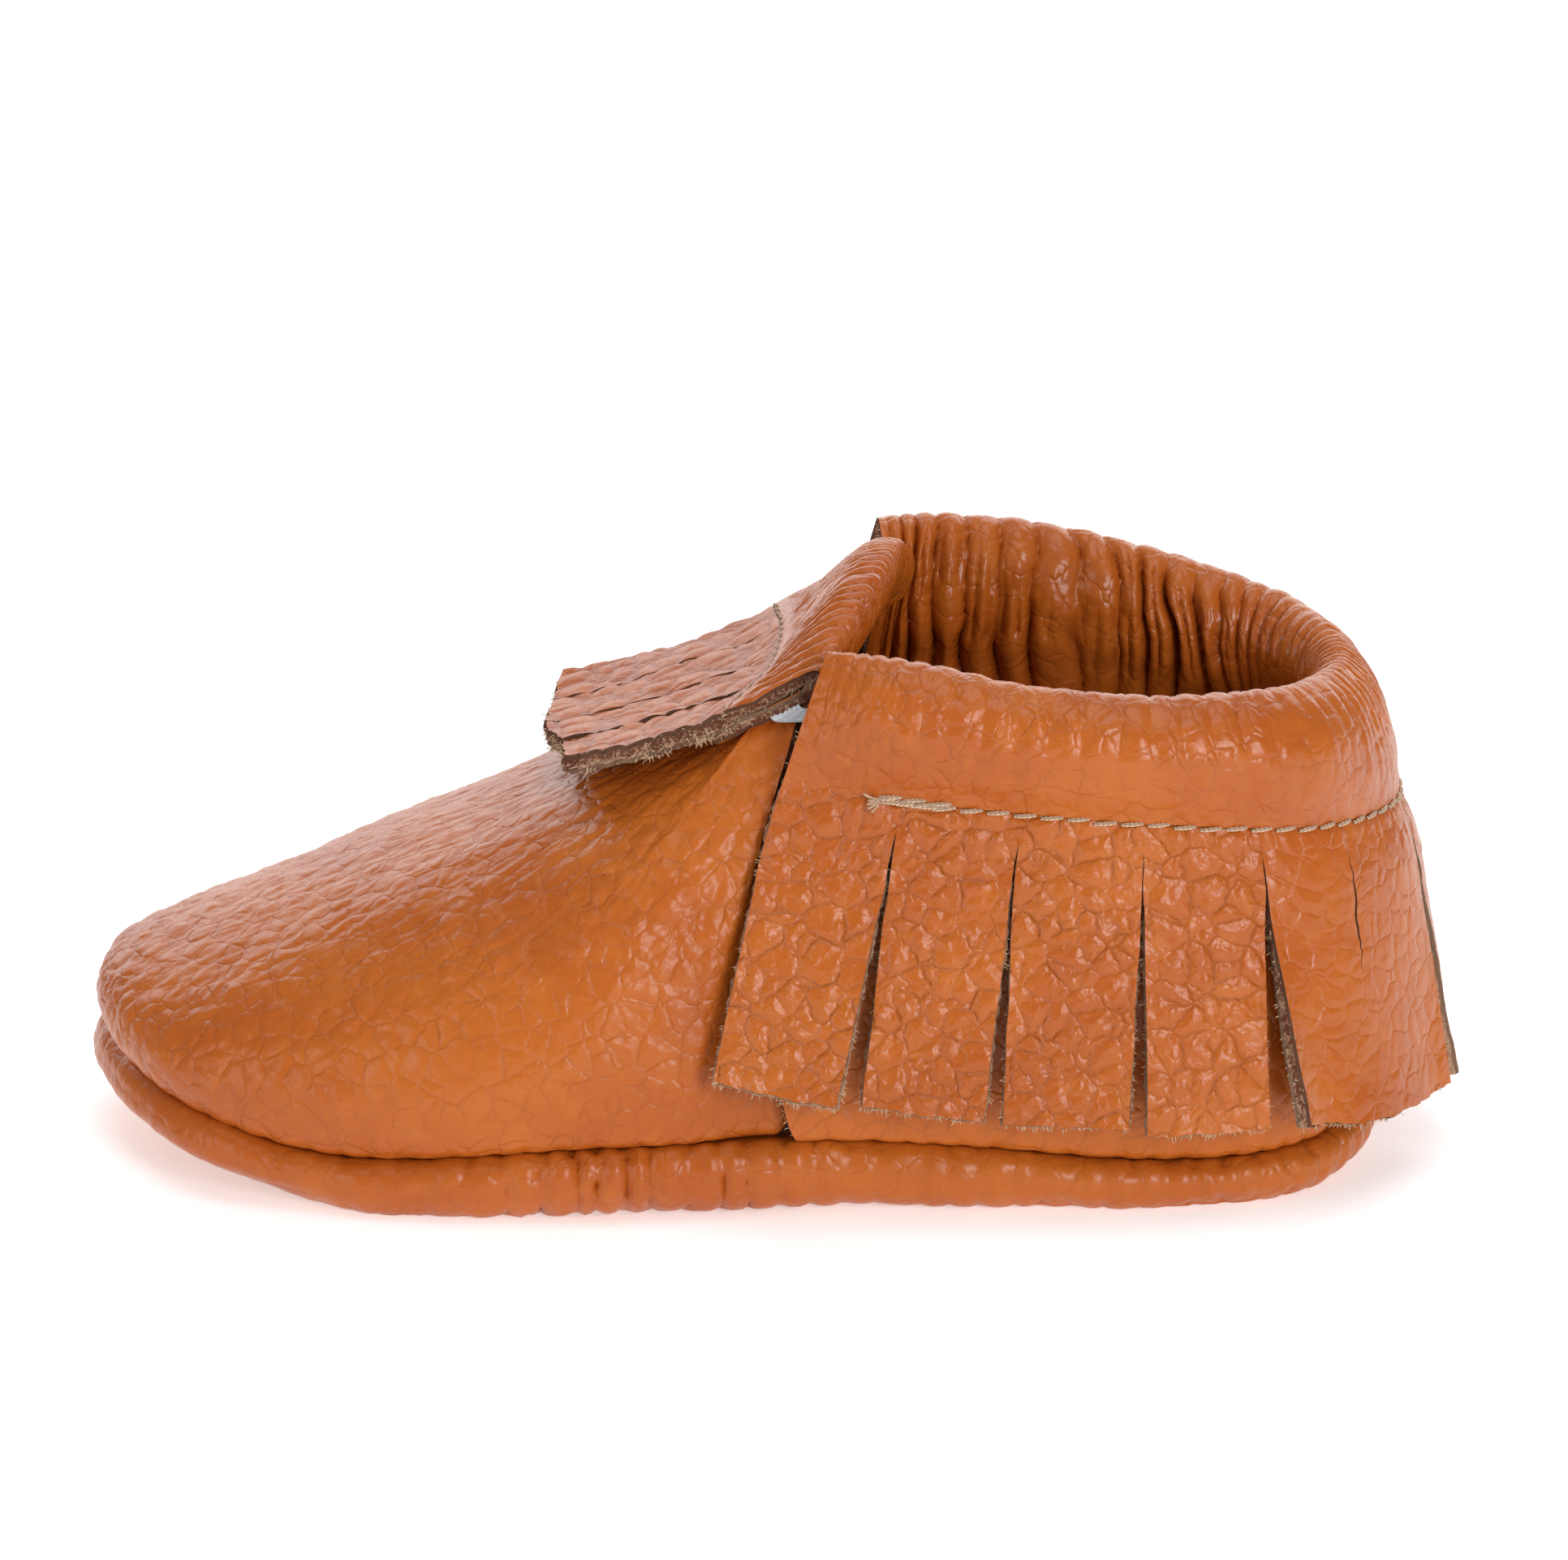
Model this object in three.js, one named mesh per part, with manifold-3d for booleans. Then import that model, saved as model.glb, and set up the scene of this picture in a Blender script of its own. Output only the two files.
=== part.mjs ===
// Soft-soled baby moccasin with a fringed, elasticated collar.
// Millimetres, +Z up, toe towards -X, ground at z = 0.
import * as THREE from "three";
import Module from "manifold-3d";

// ---- driving dimensions ----
const LEATHER = 1.5; // thickness of every leather piece
const GAP = 0.3; // clearance between neighbouring layers
const SEAM_ALLOWANCE = 3.4; // width of the turned-in edges at the sole seam
const LAP = 0.32; // overlap of heel piece on toe piece, in columns (24 mm each)
const COLLAR_DROP = 2.4; // stitch line to the top of the fringe slots
const FRINGE_LENGTH = 26.2; // slot top to the cut end of a strip
const FRINGE_SLOT = 0.5; // gap between two strips at the top
const FRINGE_PITCHES = 12; // strip widths along the collar's stitch line
const SLIT_LENGTH = 11.5; // unfinished cut in the double-width strip
const TONGUE_STRIPS = 4;
const TONGUE_REACH = [15.6, 19.4, 22.0, 21.6, 20.2]; // strip edges, near side first
const ELASTIC_THICKNESS = 0.8;
const THREAD_RADIUS = 0.35;
const FOOT_RIPPLE = 0.03; // the sole's outline stands this high between its points of contact
// Upper and lower edge of the elastic where it crosses from the collar to the tongue.
const ELASTIC_CORNER = {
  far: [[3.6, 19.6, 52.2], [2.2, 20.6, 47.6]],
  near: [[1.2, -19.6, 52.0], [-0.2, -20.6, 47.4]],
};

// Upper body: one column of control points every so often round the near side, from the middle
// of the heel to the tip of the toe: sole seam, lower control and, towards the toe, upper control.
const COLUMNS = [
  [[59.5, 0, 6.0], [63.4, 0, 16]],
  [[53.6, -17.5, 5.2], [56.2, -19.6, 14]],
  [[38, -23.2, 4.8], [38.5, -26.3, 14]],
  [[10, -25.5, 7.3], [9, -27.3, 14]],
  [[-14, -29.3, 7.3], [-16, -33.6, 14], [-9, -29, 30]],
  [[-40, -28.2, 5.6], [-43, -34, 13.5], [-31, -27, 23.8]],
  [[-58, -20.4, 8.8], [-63, -24, 17.5], [-50, -17, 19.6]],
  [[-67, 0, 11], [-71.8, 0, 23.4], [-54, 0, 17.8]],
];
const UPPER_REACH = 10; // length of the upper control where the heel piece enters the collar

// Collar: stitch line and crest from the near front end to the middle of the heel.
const COLLAR_STITCH = [
  [2.3, -23.0, 43.2],
  [10, -23.9, 41.8],
  [23, -24.3, 40.6],
  [38, -23.8, 39.4],
  [52.0, -19.2, 37.9],
  [59.7, -9.2, 36.8],
  [61.8, 0, 36.5],
];
const COLLAR_CREST = [
  [6.3, -20.0, 56.2],
  [13, -22.0, 55.9],
  [25, -22.9, 54.4],
  [38, -22.2, 52.8],
  [49, -17.3, 51.6],
  [55, -8.0, 50.7],
  [56.4, 0, 50.3],
];
const FAR_LIFT = 2.2; // the far side of the collar stands higher at its front end
const FAR_SKEW = 0.16; // the far front end sits further back than the near one
// Column number to collar station, from the heel column forwards.
const COLLAR_STATION = [6, 4.25, 3, 1, -0.667];
const COLLAR_END_COLUMN = 3.6;

// Tongue: stitch line and crest of its casing, from the far end to the near end.
const TONGUE_STITCH = [
  [-1.4, 18.2, 48.4],
  [0.4, 9.3, 49.8],
  [0.7, 0, 50.0],
  [-0.2, -9.1, 49.7],
  [-3.8, -17.8, 48.2],
];
const TONGUE_CREST = [
  [4.4, 15.4, 55.4],
  [10.8, 9.8, 58.6],
  [12.4, 0, 59.5],
  [9.4, -9.8, 58.3],
  [-0.2, -14.4, 54.4],
];
const TONGUE_FIRST_COLUMN = 4.4;
const TONGUE_LAST_COLUMN = 7;

// Casing sections: share of the stitch-to-crest distance, and millimetres outwards.
const COLLAR_SECTION = [
  [-0.15, 0], [0, 0], [0.27, 2.3], [0.56, 3.3], [0.83, 2.2], [1, -0.6],
  [0.93, -3.7], [0.7, -5.8], [0.38, -6.3], [0.1, -5.4], [-0.3, -5.6],
];
const TONGUE_SECTION = [
  [-0.1, 0.2], [0, 0], [0.27, 0.5], [0.55, 1.0], [0.84, 0.9], [1, -1.0],
  [0.95, -3.8], [0.74, -6.3], [0.4, -6.9], [0.1, -6.2], [-0.22, -6.0],
];
// Where the upper's outer face ends inside the collar and inside the tongue casing.
const COLLAR_ENTRY = [0.14, -1.9];
const TONGUE_ENTRY = [0.12, -2.7];
const COLLAR_LINING = -5.4; // outwards position of the facing that lies against the upper
const TONGUE_LINING = -6.2;

const COLORS = {
  leather: 0xb8682c,
  suede: 0x7d4526,
  elastic: 0xf0efe9,
  thread: 0xd9c3a0,
};

const wasm = await Module();
wasm.setup();

// ---- small maths ----
const vec = (p) => new THREE.Vector3(...p);
const mix = (a, b, t) => a.clone().lerp(b, t);
const rail = (p, a, x, b = p, y = 0) => p.clone().addScaledVector(a, x).addScaledVector(b, y);

function smooth(low, high, x) {
  const t = Math.min(Math.max((x - low) / (high - low), 0), 1);
  return t * t * (3 - 2 * t);
}

// Catmull-Rom through keys(-1) to keys(n), each a list of numbers.
function through(key, u) {
  const i = Math.floor(u);
  const t = u - i;
  const [a, b, c, d] = [key(i - 1), key(i), key(i + 1), key(i + 2)];
  return b.map((v, k) => {
    const linear = c[k] - a[k];
    const square = 2 * a[k] - 5 * v + 4 * c[k] - d[k];
    const cube = 3 * v - a[k] - 3 * c[k] + d[k];
    return v + 0.5 * t * (linear + t * (square + t * cube));
  });
}

// The same through an open list, carried on straight past both ends.
function along(list, u) {
  const last = list.length - 1;
  const v = Math.min(Math.max(u, 0), last - 1e-9);
  const key = (i) => {
    if (i < 0) return list[0].map((p, k) => 2 * p - list[1][k]);
    if (i > last) return list[last].map((p, k) => 2 * p - list[last - 1][k]);
    return list[i];
  };
  return through(key, v);
}

// ---- casings ----
function bothSides(near, lift) {
  const far = near.slice(0, -1).reverse();
  return near.concat(far.map(([x, y, z]) => [
    x - FAR_SKEW * y * Math.max(0, (40 - x) / 40),
    -y,
    z + lift * smooth(60, 20, x),
  ]));
}
const STITCH = bothSides(COLLAR_STITCH, 0);
const CREST = bothSides(COLLAR_CREST, FAR_LIFT);
const COLLAR_STATIONS = STITCH.length - 1;
const TONGUE_STATIONS = TONGUE_STITCH.length - 1;

// Local frame of a casing: stitch point, direction and length to the crest, outward direction.
function casingFrame(stitch, crest, u, tangent) {
  const point = vec(along(stitch, u));
  const rise = vec(along(crest, u)).sub(point);
  const height = rise.length();
  const up = rise.divideScalar(height);
  const out = tangent.clone().cross(up).normalize();
  return { point, up, out, height };
}
function collarFrame(u) {
  const ahead = vec(along(STITCH, Math.min(u + 0.02, COLLAR_STATIONS)));
  const tangent = ahead.sub(vec(along(STITCH, Math.max(u - 0.02, 0)))).normalize();
  return casingFrame(STITCH, CREST, u, tangent);
}
// The tongue's casing runs straight across the foot.
const tongueFrame = (u) =>
  casingFrame(TONGUE_STITCH, TONGUE_CREST, u, new THREE.Vector3(0, -1, 0));

// How full the casing is: flattened towards its two ends.
function fullness(u, last, flat) {
  const end = Math.min(u, last - u);
  return flat + (1 - flat) * smooth(-0.2, 1.3, end);
}

// One station of a casing as a closed loop, outer face then inner face.
function casingLoop(frame, section, lining, full, share, steps) {
  const local = (q) => {
    const [f, g] = along(section, q * (section.length - 1));
    const slack = g > 0 ? g * full : lining + (g - lining) * full;
    return [f * frame.height, g > 0 || g < lining ? slack : g];
  };
  const outer = [];
  const inner = [];
  for (let i = 0; i <= steps; i++) {
    const q = (share * i) / steps;
    const [a0, b0] = local(Math.max(q - 0.01, 0));
    const [a1, b1] = local(Math.min(q + 0.01, 1));
    const span = Math.hypot(a1 - a0, b1 - b0);
    const [a, b] = local(q);
    const na = -(b1 - b0) / span;
    const nb = (a1 - a0) / span;
    outer.push(rail(frame.point, frame.up, a, frame.out, b));
    inner.push(rail(frame.point, frame.up, a - na * LEATHER, frame.out, b - nb * LEATHER));
  }
  return outer.concat(inner.reverse());
}

// ---- upper body ----
const TOE = COLUMNS.length - 1;

function collarStation(s) {
  if (s < 0) return COLLAR_STATIONS - collarStation(-s);
  const key = (i) => {
    if (i < 0) return [COLLAR_STATIONS - COLLAR_STATION[-i]];
    return [COLLAR_STATION[Math.min(i, COLLAR_STATION.length - 1)]];
  };
  return Math.max(0, through(key, s)[0]);
}

// End of the upper inside the casings above column s; negative s is the far side of the heel.
function throat(s) {
  const far = s < 0;
  const near = Math.min(Math.abs(s), 2 * TOE - Math.abs(s));
  const collar = () => {
    const u = collarStation(Math.min(near, COLLAR_END_COLUMN));
    return collarFrame(far ? COLLAR_STATIONS - u : u);
  };
  const tongue = () => {
    const w = (Math.max(near, TONGUE_FIRST_COLUMN) - TONGUE_FIRST_COLUMN) /
      (TONGUE_LAST_COLUMN - TONGUE_FIRST_COLUMN);
    const half = TONGUE_STATIONS / 2;
    const u = 0.15 + (half - 0.15) * w;
    return tongueFrame(far ? u : TONGUE_STATIONS - u);
  };
  const end = (f, [rise, depth]) => rail(f.point, f.up, rise * f.height, f.out, depth);
  if (near <= COLLAR_END_COLUMN) {
    const f = collar();
    return { point: end(f, COLLAR_ENTRY), up: f.up };
  }
  const g = tongue();
  if (near >= TONGUE_FIRST_COLUMN) return { point: end(g, TONGUE_ENTRY), up: g.up };
  const f = collar();
  const t = smooth(COLLAR_END_COLUMN, TONGUE_FIRST_COLUMN, near);
  const point = mix(end(f, COLLAR_ENTRY), end(g, TONGUE_ENTRY), t);
  return { point, up: mix(f.up, g.up, t).normalize() };
}

function columnKey(i) {
  const n = 2 * TOE;
  const j = ((i % n) + n) % n;
  const near = COLUMNS[Math.min(j, n - j)];
  const side = j > TOE ? -1 : 1;
  const [seam, low, high] = near;
  const flip = ([x, y, z]) => [x, side * y, z];
  const top = throat(j > TOE ? j - n : j);
  const upper = high ? flip(high) : rail(top.point, top.up, -UPPER_REACH).toArray();
  return [...flip(seam), ...flip(low), ...upper];
}
const COLUMN_KEYS = [...Array(2 * TOE).keys()].map(columnKey);

// Point of the upper's outer face: s round the shoe from the heel, t from the sole seam up.
function upper(s, t) {
  const n = 2 * TOE;
  const c = through((i) => COLUMN_KEYS[((i % n) + n) % n], s);
  const end = throat(s > TOE ? s - n : s);
  const near = Math.min(Math.abs(s), n - s);
  const straight = 1 - smooth(3.55, 4.2, near);
  const high = mix(vec(c.slice(6, 9)), rail(end.point, end.up, -UPPER_REACH), straight);
  const r = 1 - t;
  return vec(c.slice(0, 3)).multiplyScalar(r * r * r)
    .addScaledVector(vec(c.slice(3, 6)), 3 * r * r * t)
    .addScaledVector(high, 3 * r * t * t)
    .addScaledVector(end.point, t * t * t);
}

function upperNormal(s, t) {
  const e = 0.01;
  const du = upper(s + e, t).sub(upper(s - e, t));
  const dv = upper(s, Math.min(t + e, 1)).sub(upper(s, Math.max(t - e, 0)));
  return dv.cross(du).normalize();
}

// Horizontal outward direction at the sole seam.
function seamOut(s) {
  const d = upper(s + 0.02, 0).sub(upper(s - 0.02, 0));
  return new THREE.Vector3(-d.y, d.x, 0).normalize();
}

const edgeColumn = (t) => 3.25 + 0.26 * t; // front edge of the heel piece

// One station of an upper piece: turned-in edge at the sole seam, then the wall up to t = top.
function upperLoop(s, top, offset, lift, steps) {
  const out = seamOut(s);
  const z = new THREE.Vector3(0, 0, 1);
  const first = 0.04 + 0.036 * lift;
  const seam = rail(upper(s, 0), out, offset(0), z, GAP / 2 + lift);
  const outer = [rail(seam, out, -SEAM_ALLOWANCE), rail(seam, out, -1.2)];
  const inner = [
    rail(seam, out, -SEAM_ALLOWANCE, z, LEATHER),
    rail(seam, out, -2.3, z, LEATHER + 0.15),
  ];
  for (let i = 0; i <= steps; i++) {
    const t = first + (top - first) * (i / steps);
    const ti = first + 0.07 + (top - first - 0.07) * (i / steps);
    outer.push(rail(upper(s, t), upperNormal(s, t), offset(t)));
    inner.push(rail(upper(s, ti), upperNormal(s, ti), offset(ti) - LEATHER));
  }
  return outer.concat(inner.reverse());
}

// ---- solids ----
// Closed skin over rows of points; hoop joins the last row to the first, loop closes each row.
function skin(rows, { hoop = false, loop = true } = {}) {
  const n = rows[0].length;
  const m = rows.length;
  const index = [];
  const quad = (a, b, c, d) => index.push(a, b, c, a, c, d);
  for (let i = 0; i < (hoop ? m : m - 1); i++) {
    const next = (i + 1) % m;
    for (let j = 0; j < (loop ? n : n - 1); j++) {
      const k = (j + 1) % n;
      quad(i * n + j, i * n + k, next * n + k, next * n + j);
    }
  }
  if (!hoop) {
    const end = (m - 1) * n;
    for (let j = 0; j < n / 2 - 1; j++) {
      quad(n - 1 - j, n - 2 - j, j + 1, j);
      quad(end + j, end + j + 1, end + n - 2 - j, end + n - 1 - j);
    }
  }
  const position = new Float32Array(rows.flat().flatMap((p) => [p.x, p.y, p.z]));
  const geometry = new THREE.BufferGeometry();
  geometry.setAttribute("position", new THREE.BufferAttribute(position, 3));
  geometry.setIndex(facingOut(position, index));
  geometry.computeVertexNormals();
  return geometry;
}

function facingOut(position, index) {
  const p = (i) => new THREE.Vector3(...position.slice(3 * i, 3 * i + 3));
  let volume = 0;
  for (let i = 0; i < index.length; i += 3) {
    volume += p(index[i]).dot(p(index[i + 1]).cross(p(index[i + 2])));
  }
  if (volume > 0) return index;
  return index.map((v, i) => (i % 3 === 1 ? index[i + 1] : i % 3 === 2 ? index[i - 1] : v));
}

const CENTRE_SHIFT = -0.7; // puts the origin under the middle of the bounding box

const root = new THREE.Group();
root.name = "moccasin";

function piece(name, geometry, color) {
  const material = new THREE.MeshStandardMaterial({ color, roughness: 0.6, metalness: 0 });
  const mesh = new THREE.Mesh(geometry.translate(CENTRE_SHIFT, 0, 0), material);
  mesh.name = name;
  root.add(mesh);
}

const spread = (count, from, to) =>
  [...Array(count + 1).keys()].map((i) => from + ((to - from) * i) / count);

// ---- sole ----
function soleLoop(s, i) {
  const ripple = i % 4 === 0 ? 0 : FOOT_RIPPLE;
  const seam = upper(s, 0);
  const out = seamOut(s);
  const up = new THREE.Vector3(0, 0, 1);
  const at = (r, z) => rail(seam, out, r, up, z - seam.z);
  const rim = seam.z - GAP / 2;
  const foot = -(1.2 + 0.5 * (seam.z - 4));
  const spine = new THREE.Vector3(0.88 * seam.x - 0.5, 0, FOOT_RIPPLE);
  return [
    spine,
    mix(at(foot, FOOT_RIPPLE), spine, 0.4),
    at(foot, ripple),
    at(0.2 * foot, 0.14 * rim),
    at(0.8, 0.5 * rim),
    at(0.7, 0.8 * rim),
    at(-0.2, rim),
    at(-SEAM_ALLOWANCE, rim),
    at(-SEAM_ALLOWANCE, rim - LEATHER),
    at(-1.3, rim - LEATHER),
    at(-0.8, 0.5 * rim + 0.2),
    at(0.2 * foot - 1.2, 0.14 * rim + 1.0),
    at(foot - 0.4, LEATHER),
    mix(at(foot, LEATHER), spine.clone().setZ(LEATHER), 0.4),
    spine.clone().setZ(LEATHER),
  ];
}

function addSole() {
  const rows = spread(52, 0, 2 * TOE).slice(0, -1).map(soleLoop);
  piece("sole", skin(rows, { hoop: true, loop: false }), COLORS.leather);
}

// ---- upper pieces ----
function addHeelPiece() {
  const rows = spread(38, -1, 1).map((k) => {
    const side = Math.abs(k);
    const edge = (t) => edgeColumn(t) * side;
    // Each station leans a little so that the front edge follows its slanted line.
    const mid = edge(0.5);
    const raised = smooth(edgeColumn(0.5) - 2.6 * LAP, edgeColumn(0.5) - 1.2 * LAP, mid);
    const offset = (t) => 0.6 * raised * (1 - smooth(0.6, 0.82, t));
    return leaning(k, (s) => upperLoop(s, 1, offset, 0, 9));
  });
  piece("heel_piece", skin(rows), COLORS.leather);
}

// A loop whose points slide from the column at the seam to the column at the throat.
function leaning(k, loopAt) {
  const base = loopAt(k * edgeColumn(0));
  const tip = loopAt(k * edgeColumn(1));
  const n = base.length / 2;
  return base.map((p, i) => {
    const j = i < n ? i : 2 * n - 1 - i;
    return mix(p, tip[i], Math.max(0, j - 1) / (n - 2));
  });
}

function addToePiece() {
  const start = edgeColumn(0) - LAP;
  const clear = start + 0.48;
  const stations = [
    ...spread(6, start, clear).slice(0, -1),
    ...spread(40, clear, 2 * TOE - clear),
    ...spread(6, 2 * TOE - clear, 2 * TOE - start).slice(1),
  ];
  const rows = stations.map((s) => {
    const near = Math.min(s, 2 * TOE - s);
    const under = 1 - smooth(edgeColumn(0.3) + 0.06, edgeColumn(0.3) + 0.42, near);
    const top = 0.66 + 0.34 * smooth(3.5, 3.85, near);
    const lift = 1 - smooth(edgeColumn(0), edgeColumn(0) + 0.08, near);
    return upperLoop(s, top, () => -1.3 * under, (LEATHER + GAP) * lift, 9);
  });
  piece("toe_piece", skin(rows), COLORS.leather);
}

// ---- collar and tongue casings ----
function addCollar() {
  const last = COLLAR_STATIONS;
  const rows = spread(36, 0, last).map((u) =>
    casingLoop(collarFrame(u), COLLAR_SECTION, COLLAR_LINING, fullness(u, last, 0.35), 1, 16));
  piece("collar", skin(rows), COLORS.leather);
}

function addTongue() {
  const last = TONGUE_STATIONS;
  const rows = spread(18, 0, last).map((u) => {
    const full = fullness(u, last, 0.2);
    const share = 0.84 + 0.16 * smooth(0.1, 0.7, Math.min(u, last - u)); // ends cut short
    return casingLoop(tongueFrame(u), TONGUE_SECTION, TONGUE_LINING, full, share, 18);
  });
  piece("tongue", skin(rows), COLORS.leather);
}

// ---- fringe ----
const ARC_STEPS = 600;
const ARC = (() => {
  const table = [0];
  for (let i = 1; i <= ARC_STEPS; i++) {
    const a = vec(along(STITCH, ((i - 1) / ARC_STEPS) * COLLAR_STATIONS));
    const b = vec(along(STITCH, (i / ARC_STEPS) * COLLAR_STATIONS));
    table.push(table[i - 1] + a.distanceTo(b));
  }
  return table;
})();
const PITCH = ARC[ARC_STEPS] / FRINGE_PITCHES;

function stationAtArc(length) {
  const i = Math.min(ARC.findIndex((v) => v >= length - 1e-9), ARC_STEPS);
  if (i <= 0) return 0;
  const t = (length - ARC[i - 1]) / (ARC[i] - ARC[i - 1]);
  return ((i - 1 + t) / ARC_STEPS) * COLLAR_STATIONS;
}

// A hanging strip: rooted on the points given, running along one direction, round at the top.
function strip(roots, out, down, lengths, lean, flare) {
  const half = LEATHER / 2;
  const across = roots[roots.length - 1].clone().sub(roots[0]).normalize();
  const middle = roots[0].clone().add(roots[roots.length - 1]).multiplyScalar(0.5);
  const steps = 6;
  const rows = roots.map((root, i) => {
    const before = roots[Math.max(i - 1, 0)];
    const after = roots[Math.min(i + 1, roots.length - 1)];
    const local = after.clone().sub(before).normalize();
    const front = [];
    const back = [];
    const length = lengths[0] + (lengths[1] - lengths[0]) * (i / (roots.length - 1));
    const sideways = across.dot(root.clone().sub(middle));
    let spot = root.clone();
    for (let j = 0; j <= steps; j++) {
      const share = j / steps;
      const angle = flare[0] + (flare[1] - flare[0]) * share;
      const run = down.clone().multiplyScalar(Math.cos(angle)).addScaledVector(out, Math.sin(angle));
      const face = run.clone().cross(local).normalize();
      if (face.dot(out) < 0) face.negate();
      if (j > 0) {
        spot.addScaledVector(run, length / steps);
        spot.addScaledVector(across, Math.tan(lean) * (length / steps));
        spot.addScaledVector(run, (-Math.sin(lean) * sideways) / steps);
      }
      front.push(rail(spot, face, half));
      back.push(rail(spot, face, -half));
      if (j === 0) {
        front.unshift(rail(spot, face, half * 0.55, run, -half * 0.83));
        back.unshift(rail(spot, face, -half * 0.55, run, -half * 0.83));
      }
    }
    return front.concat(back.reverse());
  });
  return skin(rows);
}

// Fringe strips: pitches covered, flare at top and bottom and sideways lean, in degrees.
const FRINGE = [
  { from: 0, to: 0.97, flare: [18, 20], lean: -3 },
  { from: 0.97, to: 1.93, flare: [12, 15], lean: -1 },
  { from: 1.93, to: 2.9, flare: [10, 13], lean: 2 },
  { from: 2.9, to: 3.84, flare: [9, 12], lean: 4 },
  { from: 3.84, to: 5.78, flare: [9, 13], lean: 2 },
  { from: 5.78, to: 6.8, flare: [11, 14], lean: 0 },
  { from: 6.8, to: 7.86, flare: [10, 14], lean: 0 },
  { from: 7.86, to: 8.9, flare: [9, 12], lean: -3 },
  { from: 8.9, to: 9.93, flare: [10, 13], lean: -2 },
  { from: 9.93, to: 10.97, flare: [12, 15], lean: 1 },
  { from: 10.97, to: 12, flare: [21, 22], lean: 3 },
];
const RAD = Math.PI / 180;

// Middle of the leather at the foot of the collar's outer face, a gap and a bead below it.
function fringeRoot(u) {
  const f = collarFrame(u);
  return rail(f.point, f.up, -(COLLAR_DROP + GAP + LEATHER / 2), f.out, -LEATHER / 2);
}

function fringeFrame(spec) {
  const u = stationAtArc(((spec.from + spec.to) / 2) * PITCH);
  const a = fringeRoot(stationAtArc(spec.from * PITCH + FRINGE_SLOT / 2));
  const b = fringeRoot(stationAtArc(spec.to * PITCH - FRINGE_SLOT / 2));
  const across = b.clone().sub(a).normalize();
  const down = new THREE.Vector3(0, 0, -1);
  down.addScaledVector(across, -down.dot(across)).normalize();
  const out = across.clone().cross(down).normalize();
  if (out.dot(collarFrame(u).out) < 0) out.negate();
  return { u, across, down, out };
}

function addFringe() {
  FRINGE.forEach((spec, i) => {
    const { down, out } = fringeFrame(spec);
    const wide = spec.to - spec.from > 1.5;
    const edges = spread(
      wide ? 8 : 3,
      spec.from * PITCH + FRINGE_SLOT / 2,
      spec.to * PITCH - FRINGE_SLOT / 2,
    );
    const roots = edges.map((w) => fringeRoot(stationAtArc(w)));
    const lengths = [FRINGE_LENGTH, FRINGE_LENGTH];
    const flare = spec.flare.map((d) => d * RAD);
    let geometry = strip(roots, out, down, lengths, spec.lean * RAD, flare);
    if (wide) geometry = slit(geometry, roots[4], down, out);
    piece("fringe_" + String(i + 1).padStart(2, "0"), geometry, COLORS.leather);
  });
}

// Cuts the unfinished slit from the top of the double-width strip.
function slit(geometry, top, down, out) {
  const box = new THREE.BoxGeometry(FRINGE_SLOT, 8, 2 * SLIT_LENGTH);
  const across = down.clone().cross(out).normalize();
  const basis = new THREE.Matrix4().makeBasis(across, out, across.clone().cross(out));
  box.applyMatrix4(basis).translate(top.x, top.y, top.z);
  const cut = solid(geometry).subtract(solid(box));
  const mesh = cut.getMesh();
  const result = new THREE.BufferGeometry();
  const position = new Float32Array(mesh.numVert * 3);
  for (let i = 0; i < mesh.numVert; i++) {
    for (let k = 0; k < 3; k++) position[3 * i + k] = mesh.vertProperties[i * mesh.numProp + k];
  }
  result.setAttribute("position", new THREE.BufferAttribute(position, 3));
  result.setIndex([...mesh.triVerts]);
  result.computeVertexNormals();
  return result;
}

function solid(geometry) {
  const bare = new THREE.BufferGeometry();
  bare.setAttribute("position", geometry.getAttribute("position"));
  const flat = geometry.index ? geometry.index.array : null;
  const seen = new Map();
  const vertices = [];
  const pos = bare.getAttribute("position");
  const pick = (i) => {
    const p = [pos.getX(i), pos.getY(i), pos.getZ(i)];
    const key = p.map((v) => v.toFixed(4)).join();
    if (!seen.has(key)) {
      seen.set(key, vertices.length / 3);
      vertices.push(...p);
    }
    return seen.get(key);
  };
  const triVerts = new Uint32Array([...flat].map(pick));
  return new wasm.Manifold(
    new wasm.Mesh({ numProp: 3, vertProperties: new Float32Array(vertices), triVerts }),
  );
}

// Tongue strips hang forwards from the foot of the tongue casing's outer face.
function addTongueStrips() {
  for (let i = 0; i < TONGUE_STRIPS; i++) {
    const width = TONGUE_STATIONS / TONGUE_STRIPS;
    const low = TONGUE_STATIONS - i * width;
    const trim = 0.03;
    const roots = spread(3, low - trim, low - width + trim).map((u) => {
      const f = tongueFrame(u);
      const drop = 0.1 * f.height + GAP + LEATHER / 2;
      return rail(f.point, f.up, -drop, f.out, -LEATHER / 2);
    });
    const down = new THREE.Vector3(-1, 0, 0);
    const out = new THREE.Vector3(0, 0, 1);
    const lengths = [TONGUE_REACH[i], TONGUE_REACH[i + 1]];
    const bend = [-23 * RAD, -14 * RAD];
    piece("tongue_strip_" + (i + 1), strip(roots, out, down, lengths, 0, bend), COLORS.leather);
  }
}

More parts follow.
